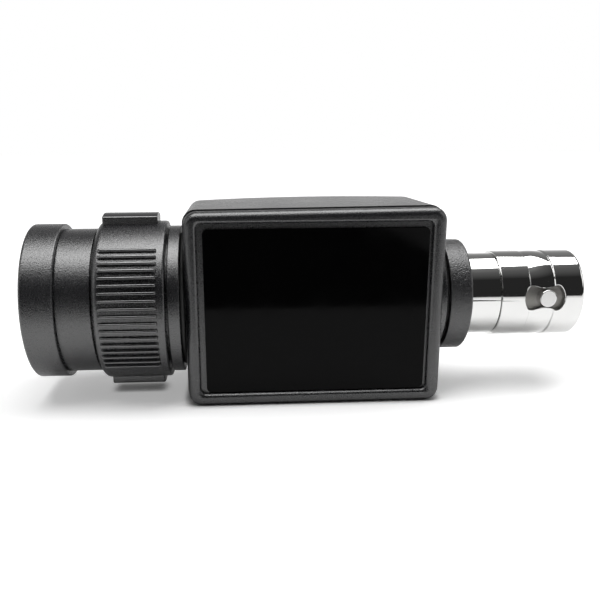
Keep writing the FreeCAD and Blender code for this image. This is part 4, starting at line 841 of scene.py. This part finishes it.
def add_lamp(name, place, width, height, power):
    """Area lamp that looks at the middle of the part."""
    data = bpy.data.lights.new(name, "AREA")
    data.shape = "RECTANGLE"
    data.size = width
    data.size_y = height
    data.energy = power
    lamp = linked(name, data)
    direction = Vector((0, 0, AXIS * MM)) - Vector(place)
    lamp.matrix_world = Matrix.Translation(place) @ direction.to_track_quat("-Z", "Y").to_matrix().to_4x4()
    return lamp


def make_lamps(studio):
    """Softbox above and behind the part, and two weak fills."""
    softbox = add_lamp("softbox", (0.030, 0.020, 0.466), 0.66, 0.28, studio.softbox_power)
    softbox.rotation_euler = (0, 0, studio.softbox_turn)
    for name, x in (("fill_left", -0.55), ("fill_right", 0.55)):
        add_lamp(name, (x, -0.10, 0.30), 0.35, 0.35, studio.fill_power)


def make_camera(studio):
    """Camera at the photograph's place."""
    data = bpy.data.cameras.new("camera")
    data.sensor_width = 36
    data.lens = studio.lens
    data.shift_x, data.shift_y = studio.camera_shift
    data.clip_start = 0.001
    yaw, pitch, roll = studio.camera_yaw, studio.camera_pitch, studio.camera_roll
    forward = Vector((math.sin(yaw) * math.cos(pitch), math.cos(yaw) * math.cos(pitch), -math.sin(pitch)))
    level = Vector((math.cos(yaw), -math.sin(yaw), 0))
    upright = level.cross(forward)
    right = level * math.cos(roll) + upright * math.sin(roll)
    above = upright * math.cos(roll) - level * math.sin(roll)
    camera = linked("camera", data)
    turn = Matrix((right, above, -forward)).transposed().to_4x4()
    camera.matrix_world = Matrix.Translation(studio.camera_place) @ turn
    bpy.context.scene.camera = camera
    bpy.context.scene.view_settings.view_transform = "Standard"


# Turn-lock socket

def make_end_ring(coupler):
    """Smooth ring around the socket's mouth."""
    left, right, radius = ends("end_ring")
    bore, spigot = coupler.bore_radius, coupler.spigot_radius
    step = ends("socket_body")[0]
    bevel = 0.4
    turned_piece("end_ring_moulding", "end_ring", "coupler_moulding", [
        (left, bore + bevel), (left + bevel, bore), (step, bore, 0), (step, spigot, 0), (right, spigot, 0),
        (right, radius, 0.25), (left, radius, 0.5),
    ], coupler.edge_break)


def make_socket_body(coupler):
    """Barrel, sleeve under the coupling ring, back wall and threaded neck, with the key slots."""
    left, neck_right, radius = ends("socket_body")
    flange_left = ends("mounting_flange")[0]
    floor = ends("ground_ring")[1]
    barrel_left = ends("end_ring")[1]
    ring_gap = 0.3
    shoulder = ends("coupling_ring")[0] - ring_gap
    shank, bore, neck = coupler.neck_bore, coupler.bore_radius, coupler.neck_radius
    sleeve, spigot, edge = coupler.sleeve_radius, coupler.spigot_radius, coupler.edge_break
    key_left, key_right, _ = ends("drive_key_top")
    clearance = coupler.key_clearance
    cutters = [
        wedge(
            key_left - clearance, key_right + clearance, bore - 1, sleeve + 1,
            side * math.pi / 2 + half_ring_turn(), coupler.slot_angle)
        for side in (1, -1)
    ]
    turned_piece("socket_moulding", "socket_body", "coupler_moulding", [
        (left, bore), (floor, bore), (floor, shank), (neck_right, shank), (neck_right, neck, 0.3),
        (flange_left, neck, 0), (flange_left, sleeve, 0), (shoulder, sleeve, 0), (shoulder, radius, edge),
        (barrel_left, radius, edge), (barrel_left, spigot, 0), (left, spigot),
    ], 0.06, cutters=cutters)


def half_ring_turn():
    """Middle of the coupling ring's range, as an angle."""
    joint = next(item for item in frame["joints"] if item["name"] == "coupling_ring_turn")
    low, high = joint["range"][:2] if "range" in joint else (0, math.radians(60))
    return (low + high) / 2


def make_coupling_ring(coupler):
    """Ring with a rounded shoulder, a group of ribs front and back and a tab above and below."""
    left, right, _ = ends("coupling_ring")
    radius, bore = coupler.ring_radius, coupler.ring_bore
    turned_piece("ring_moulding", "coupling_ring", "coupler_moulding", [
        (left, bore), (right, bore), (right, radius, 0.35), (left, radius, coupler.shoulder_round),
    ], coupler.edge_break, 216, body="coupling_ring")
    add_piece("ring_ribs", rib_group(coupler, left, right), "coupling_ring", "rib_moulding")
    for name, side in (("tab_top", 1), ("tab_bottom", -1)):
        add_piece(name, tab_mesh(coupler, name, left, right, side), "coupling_ring", "rib_moulding")


def rib_mesh(coupler, left, right):
    """One rib along the axis at the top of the ring, with rounded shoulders and ends."""
    half, height = coupler.rib_width / 2, coupler.rib_height
    radius = coupler.ring_radius
    foot = radius - 0.25
    top = radius + height
    left += coupler.rib_left
    right -= coupler.rib_right
    flank = [(1.12, foot), (1, radius + height * 0.35), (0.78, top - 0.09), (0.45, top)]
    section = [(-half * part, z) for part, z in flank] + [(half * part, z) for part, z in reversed(flank)]
    rises = [(0, 0.0), (0.06, 0.55), (0.2, 0.88), (0.42, 1.0)]
    stations = [(left + away, rise) for away, rise in rises]
    stations += [(right - away, rise) for away, rise in reversed(rises)]
    mesh = closed_mesh("rib", [[
        (x * MM, y * (0.8 + 0.2 * rise) * MM, (foot + (z - foot) * (0.45 + 0.55 * rise)) * MM) for y, z in section
    ] for x, rise in stations])
    mesh.shade_smooth()
    return mesh


def rib_group(coupler, left, right):
    """All ribs of the ring, placed by a node tree and made one plain mesh."""
    rib = linked("rib", rib_mesh(coupler, left, right))
    tree = bpy.data.node_groups.new("ribs_around_axis", "GeometryNodeTree")
    tree.interface.new_socket("Geometry", in_out="INPUT", socket_type="NodeSocketGeometry")
    tree.interface.new_socket("Geometry", in_out="OUTPUT", socket_type="NodeSocketGeometry")
    carrier = linked("ribs", bpy.data.meshes.new("ribs"))
    modifier = carrier.modifiers.new("ribs", "NODES")
    identifiers = {}
    for name, kind, default in (
        ("Rib", "Object", None),
        ("Ribs in a group", "Int", coupler.rib_count),
        ("Pitch", "Float", coupler.rib_pitch),
        ("Rise", "Float", coupler.rib_rise),
        ("Axis height", "Float", AXIS * MM),
        ("Finish", "Material", None),
    ):
        socket = tree.interface.new_socket(name, in_out="INPUT", socket_type="NodeSocket" + kind)
        if default is not None:
            socket.default_value = default
        identifiers[name] = socket.identifier
    nodes = Nodes(tree)
    entry = nodes.node("NodeGroupInput")
    ribs, pitch, rise = (nodes.value(entry, name) for name in ("Ribs in a group", "Pitch", "Rise"))
    index = nodes.value(nodes.node("GeometryNodeInputIndex"))
    group = (index / ribs).math("FLOOR")
    within = index - group * ribs
    turn = (within - (ribs - 1) / 2) * pitch + (group * math.pi + math.pi / 2) - rise
    points = nodes.node("GeometryNodePoints", {"Count": ribs * 2})
    height = nodes.node("ShaderNodeCombineXYZ", {2: nodes.value(entry, "Axis height")})
    placed = nodes.node("GeometryNodeSetPosition", {
        "Geometry": points.outputs[0], "Position": height.outputs[0],
    })
    info = nodes.node("GeometryNodeObjectInfo", {"Object": nodes.value(entry, "Rib")})
    rotation = nodes.node("ShaderNodeCombineXYZ", {0: turn})
    instances = nodes.node("GeometryNodeInstanceOnPoints", {
        "Points": placed.outputs[0], "Instance": info.outputs["Geometry"], "Rotation": rotation.outputs[0],
    })
    realized = nodes.node("GeometryNodeRealizeInstances", {0: instances.outputs[0]})
    finished = nodes.node("GeometryNodeSetMaterial", {
        "Geometry": realized.outputs[0], "Material": nodes.value(entry, "Finish"),
    })
    nodes.node("NodeGroupOutput", {0: finished.outputs[0]})
    modifier.node_group = tree
    modifier[identifiers["Rib"]] = rib
    modifier[identifiers["Finish"]] = FINISHES["rib_moulding"]
    result = settled(carrier, "ring_ribs")
    bpy.data.objects.remove(rib)
    result.shade_smooth()
    result.set_sharp_from_angle(angle=math.radians(50))
    return result


def tab_mesh(coupler, name, left, right, side):
    """Raised tab with a crowned top and rounded edges."""
    half, crown = coupler.tab_width / 2, coupler.tab_crown
    radius = span("coupling_ring")[1].z - AXIS
    foot = coupler.ring_radius - 0.6
    bend = (half * half + crown * crown) / (2 * crown)
    outline = [(-half, foot), (half, foot)]
    steps = 12
    for step in range(steps + 1):
        y = half * (1 - 2 * step / steps)
        outline.append((y, radius - bend + math.sqrt(bend * bend - y * y)))
    mesh = closed_mesh(name, [
        [(x * MM, y * MM, (AXIS + side * z) * MM) for y, z in outline]
        for x in (left + coupler.tab_left, right - coupler.tab_right)
    ])
    return bevelled(mesh, coupler.tab_round * MM, 4, 40)


def make_socket_seals(coupler):
    """Flange and gasket against the box."""
    neck = coupler.neck_radius
    plain_ring("flange_moulding", "mounting_flange", "coupler_moulding", neck, 0.25, 0.12, 192)
    plain_ring("socket_seal", "socket_gasket", "seal_rubber", neck, 0.3, 0.3)


# Bayonet plug

FLANGE_THICKNESS = 1.0


def make_plug_mount(plug):
    """Seat ring, gasket and textured collar."""
    plain_ring("seat_moulding", "plug_seat_ring", "coupler_moulding", plug.seat_bore, 0.08, 0.2)
    plain_ring("collar_seal", "collar_gasket", "seal_rubber", plug.thread_radius, 0.2, 0.2)
    left, right, radius = ends("collar")
    flange = ends("plug_body")[2]
    seat = left + FLANGE_THICKNESS
    turned_piece("collar_moulding", "collar", "collar_moulding", [
        (left, flange, 0), (seat, flange, 0), (seat, plug.body_radius, 0), (right, plug.body_radius, 0.15),
        (right, radius, plug.collar_round), (left, radius, plug.collar_round / 3),
    ])


def make_plug_body(plug):
    """Thread, flange, bright cylinder, hub and slotted contact tube."""
    left, right, flange = ends("plug_body")
    collar_left = ends("collar")[0]
    body_right = ends("plug_sleeve")[0] - plug.body_gap
    hub_right = ends("plug_face_gasket")[0]
    groove_left, groove_right, _ = ends("plug_snap_ring")
    hub, contact, bore = plug.hub_radius, plug.contact_radius, plug.contact_bore
    thread, shank, body = plug.thread_radius, plug.shank_bore, plug.body_radius
    groove = hub - plug.groove_depth
    step = collar_left + 2 * FLANGE_THICKNESS
    seat = collar_left + FLANGE_THICKNESS
    edge = plug.edge_break
    depth = 2.5
    slots = []
    for index in range(3):
        turn = Matrix.Translation((right - depth, 0, AXIS)) @ Matrix.Rotation(math.pi * index / 3, 4, "X")
        slots.append(block(-depth, depth + 0.5, plug.slot_width / 2, contact + 1, turn))
    turned_piece("plug_plating", "plug_body", "bright_plating", [
        (left, shank, 0), (step, shank, 0), (step, bore, 0), (right, bore, 0.08), (right, contact, 0.25),
        (hub_right, contact, 0), (hub_right, hub, edge), (groove_right, hub, 0), (groove_right, groove, 0),
        (groove_left, groove, 0), (groove_left, hub, 0), (body_right, hub, 0), (body_right, body, 0.1),
        (seat, body, 0), (seat, flange, edge), (collar_left, flange, edge), (collar_left, thread, 0),
        (left, thread, 0.3),
    ], edge, 160, slots)


def make_sleeve(plug):
    """Bright coupling sleeve: crowned band between two steps, waisted windows and a notched lip."""
    left, right, _ = ends("plug_sleeve")
    radius = -span("plug_sleeve")[0].y
    web, lip = left + plug.sleeve_wall, right - plug.sleeve_wall
    inner, hub, mouth = plug.sleeve_bore, plug.sleeve_hub, plug.sleeve_mouth
    band_left, band_right, slope = left + plug.band_left, right - plug.band_right, plug.band_slope
    low = radius - plug.band_step
    crest = []
    steps = 12
    for step in range(1, steps):
        part = step / steps
        rise = plug.band_crown * (1 - (2 * part - 1) ** 2)
        crest.append((band_right + (band_left + slope - band_right) * part, low + rise, 0.0))
    edge = plug.edge_break
    corners = [
        (left, hub, edge), (web, hub, 0), (web, inner, 0), (lip, inner, 0), (lip, mouth, edge),
        (right, mouth, 0.12), (right, radius, plug.sleeve_round), (band_right + slope, radius, 0.07),
        (band_right, low, 0.05),
    ] + crest + [
        (band_left + slope, low, 0.05), (band_left, radius, 0.07), (left, radius, 0.08),
    ]
    turn = Matrix.Rotation(-plug.window_turn, 4, "X")
    cutters = [window_cutter(plug, left + plug.window_middle, radius, side, turn) for side in (-1, 1)]
    upright = Matrix.Rotation(math.pi / 2, 4, "Y") @ Matrix.Rotation(math.pi / 2, 4, "Z")
    half = plug.notch_width / 2
    place = Matrix.Translation((right, 0, AXIS)) @ turn @ upright
    cutters.append(block(-half, half, mouth + 0.7, plug.sleeve_wall, place))
    turned_piece(
        "sleeve_plating", "plug_sleeve", "bright_plating", corners, edge, cutters=cutters, body="plug_sleeve",
        smooth=True)


def window_outline(plug, middle):
    """Outline of the waisted window, in the plane that faces its opening."""
    low, high = span("drive_pin_front")
    pin = (high.x - low.x) / 2
    half_width = pin + plug.window_side
    half_height = pin + plug.window_rise
    corners = [Vector((x * half_width, y * half_height)) for x, y in ((-1, -1), (1, -1), (1, 1), (-1, 1))]
    points = []
    for index, bow in enumerate((-plug.window_waist, plug.window_end) * 2):
        points.extend(bow_points(corners[index], corners[(index + 1) % 4], bow))
    return [Vector((middle + point.x, point.y)) for point in softened(points, corners, plug.window_round)]


def softened(points, corners, reach):
    """Points of a closed outline with a bend in place of each corner."""
    result = []
    count = len(points)
    kept = [min((point - corner).length for corner in corners) > reach for point in points]
    for index, point in enumerate(points):
        if kept[index]:
            result.append(point)
            continue
        if not kept[index - 1]:
            continue
        before = points[index - 1]
        following = index
        while not kept[following % count]:
            following += 1
        after = points[following % count]
        corner = min(corners, key=lambda item: (item - point).length)
        for step in range(1, 7):
            part = step / 7
            result.append(before * (1 - part) ** 2 + corner * (2 * part * (1 - part)) + after * part ** 2)
    return result


def grown(points, distance):
    """Points of a closed counterclockwise outline moved outwards."""
    result = []
    for index, point in enumerate(points):
        along = (points[(index + 1) % len(points)] - points[index - 1]).normalized()
        result.append(point + Vector((along.y, -along.x)) * distance)
    return result


def window_cutter(plug, middle, radius, side, turn):
    """Cutter for one window: straight inside, with a chamfer that follows the sleeve's round surface."""
    outline = window_outline(plug, middle)
    chamfer = plug.window_chamfer
    wide = grown(outline, 2 * chamfer)
    rows = [[(point.x, 0.0, point.y) for point in outline]]
    for points, reach in ((outline, radius - chamfer), (wide, radius + chamfer)):
        rows.append([(point.x, side * math.sqrt(reach ** 2 - point.y ** 2), point.y) for point in points])
    rows.append([(point.x, side * (radius + 2), point.y) for point in wide])
    mesh = closed_mesh("window", rows)
    mesh.transform(Matrix.Scale(MM, 4) @ Matrix.Translation((0, 0, AXIS)) @ turn)
    return mesh


def bow_points(start, stop, rise, steps=14):
    """Points of a circular arc from start up to stop, which bows to the right of its chord by rise."""
    chord = stop - start
    half = chord.length / 2
    radius = (half * half + rise * rise) / (2 * abs(rise))
    side = Vector((chord.y, -chord.x)).normalized() * math.copysign(1, rise)
    centre = (start + stop) / 2 + side * (abs(rise) - radius)
    reach = math.asin(min(1, half / radius))
    along = chord.normalized()
    turns = [reach * (2 * step / steps - 1) for step in range(steps)]
    return [centre + side * radius * math.cos(turn) + along * radius * math.sin(turn) for turn in turns]


def make_washer():
    """Wave washer, which the sliding ring squeezes against the snap ring."""
    piece = copied_piece("washer_wave", "spring_washer", "zinc_steel", 0.03, 2, "bayonet_ring")
    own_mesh(piece)


def make_pins(plug):
    """Bright drive pins that stand in the windows."""
    turn = Matrix.Rotation(-plug.window_turn, 4, "X")
    foot = -span("bayonet_ring")[0].y - 0.6
    for name, node, way in (("pin_front", "drive_pin_front", -1), ("pin_back", "drive_pin_back", 1)):
        low, high = span(node)
        radius = (high.x - low.x) / 2
        tip = max(-low.y, high.y) + plug.pin_rise
        segments = rounded_outline(
            [(foot, 0, 0), (tip, 0, 0), (tip, radius, plug.pin_edge), (foot, radius, 0)], 0)
        mesh = revolved_mesh(name, segments, 64)
        upright = Matrix.Rotation(way * math.pi / 2, 4, "Z")
        place = Vector(((low.x + high.x) / 2, 0, AXIS)) * MM
        mesh.transform(Matrix.Translation(place) @ turn @ upright @ Matrix.Translation((0, 0, -AXIS * MM)))
        add_piece(name, mesh, "bayonet_ring", "pin_plating", node)


# Solids that stay

def numbered(name, count):
    """Names with numbers from 1 on."""
    return ["%s_%d" % (name, index) for index in range(1, count + 1)]


INNER_FINISHES = {
    "bright_plating": ["panel_nut", "plug_rear_nut", "plug_ground_tag"],
    "inner_plating": ["latch_ring"],
    "zinc_steel": [
        "panel_washer", "plug_lock_washer", "plug_snap_ring", "drive_key_top", "drive_key_bottom",
    ] + numbered("board_screw", 4),
    "contact_plating": [
        "centre_socket", "ground_ring", "plug_centre_pin",
    ] + numbered("trimmer_capacitor_rotor", 2),
    "insulator_white": ["socket_insulator", "plug_insulator", "trimmer_resistor_rotor"],
    "seal_rubber": ["plug_face_gasket"],
    "board_mask": ["circuit_board"],
    "trimmer_blue": numbered("trimmer_capacitor_body", 2) + ["trimmer_resistor_body"],
    "resistor_body": numbered("fixed_resistor", 3),
    "capacitor_yellow": numbered("fixed_capacitor", 2),
    "wire_red": ["input_wire", "output_wire"],
    "wire_black": ["ground_wire"],
}


def dress(finish, nodes):
    """Give solids that stay their finish."""
    for node in nodes:
        for place in frame["nodes"][node].material_slots:
            place.material = FINISHES[finish]


# Operators, one for each piece or group

class PROBE_OT_stage(bpy.types.Operator):
    """Build the floor, the lamps, the backdrop and the camera"""
    bl_idname = "probe.stage"
    bl_label = "Stage"

    def execute(self, context):
        studio = settings("studio")
        make_floor(studio)
        make_world()
        make_lamps(studio)
        make_camera(studio)
        return {"FINISHED"}


class PROBE_OT_box(bpy.types.Operator):
    """Build the moulded cover and shell, the bare plate and the case screws"""
    bl_idname = "probe.box"
    bl_label = "Box"

    def execute(self, context):
        box = Sizes("box")
        copied_piece("cover_moulding", "front_cover", "case_moulding", box.edge_break)
        copied_piece("shell_moulding", "rear_shell", "case_moulding", box.edge_break)
        copied_piece("bare_plate", "label_plate", "gloss_plate", box.plate_break)
        dress("zinc_steel", numbered("case_screw", 4))
        return {"FINISHED"}


class PROBE_OT_coupler(bpy.types.Operator):
    """Build the turn-lock socket's end ring, body, coupling ring, flange and gasket"""
    bl_idname = "probe.coupler"
    bl_label = "Turn-lock socket"

    def execute(self, context):
        coupler = Sizes("coupler")
        make_end_ring(coupler)
        make_socket_body(coupler)
        make_coupling_ring(coupler)
        make_socket_seals(coupler)
        return {"FINISHED"}


class PROBE_OT_plug(bpy.types.Operator):
    """Build the bayonet plug's seat ring, collar, body, sleeve, and the ring and washer inside it"""
    bl_idname = "probe.plug"
    bl_label = "Bayonet plug"

    def execute(self, context):
        plug = Sizes("plug")
        make_plug_mount(plug)
        make_plug_body(plug)
        make_sleeve(plug)
        copied_piece("bayonet_satin", "bayonet_ring", "satin_plating", 0.05, 2, "bayonet_ring")
        make_washer()
        make_pins(plug)
        return {"FINISHED"}


class PROBE_OT_inside(bpy.types.Operator):
    """Give the pieces inside their finishes"""
    bl_idname = "probe.inside"
    bl_label = "Inside"

    def execute(self, context):
        for finish, nodes in INNER_FINISHES.items():
            dress(finish, nodes)
        return {"FINISHED"}


class PROBE_PT_panel(bpy.types.Panel):
    """Lists what can be built and changed"""
    bl_label = "Probe box"
    bl_space_type = "VIEW_3D"
    bl_region_type = "UI"
    bl_category = "Probe box"

    def draw(self, context):
        for name in STEPS:
            self.layout.operator("probe." + name)
        for part in GROUPS:
            column = self.layout.box().column()
            group = settings(part)
            for name in group.__annotations__:
                column.prop(group, name, text=name.replace("_", " ").capitalize())


STEPS = ("stage", "box", "coupler", "plug", "inside")
GROUPS = {
    "studio": StudioSettings,
    "box": BoxSettings,
    "coupler": CouplerSettings,
    "plug": PlugSettings,
    "finish": FinishSettings,
}
CLASSES = tuple(GROUPS.values()) + (
    PROBE_OT_stage, PROBE_OT_box, PROBE_OT_coupler, PROBE_OT_plug, PROBE_OT_inside, PROBE_PT_panel,
)


def register():
    """Register the classes and the settings."""
    for item in CLASSES:
        bpy.utils.register_class(item)
    for name, group in GROUPS.items():
        setattr(bpy.types.Scene, "probe_" + name, PointerProperty(type=group))


def unregister():
    """Undo register."""
    for name in GROUPS:
        delattr(bpy.types.Scene, "probe_" + name)
    for item in reversed(CLASSES):
        bpy.utils.unregister_class(item)


def main():
    """Build everything."""
    register()
    make_finishes()
    for name in STEPS:
        getattr(bpy.ops.probe, name)()


if __name__ == "__main__":
    main()
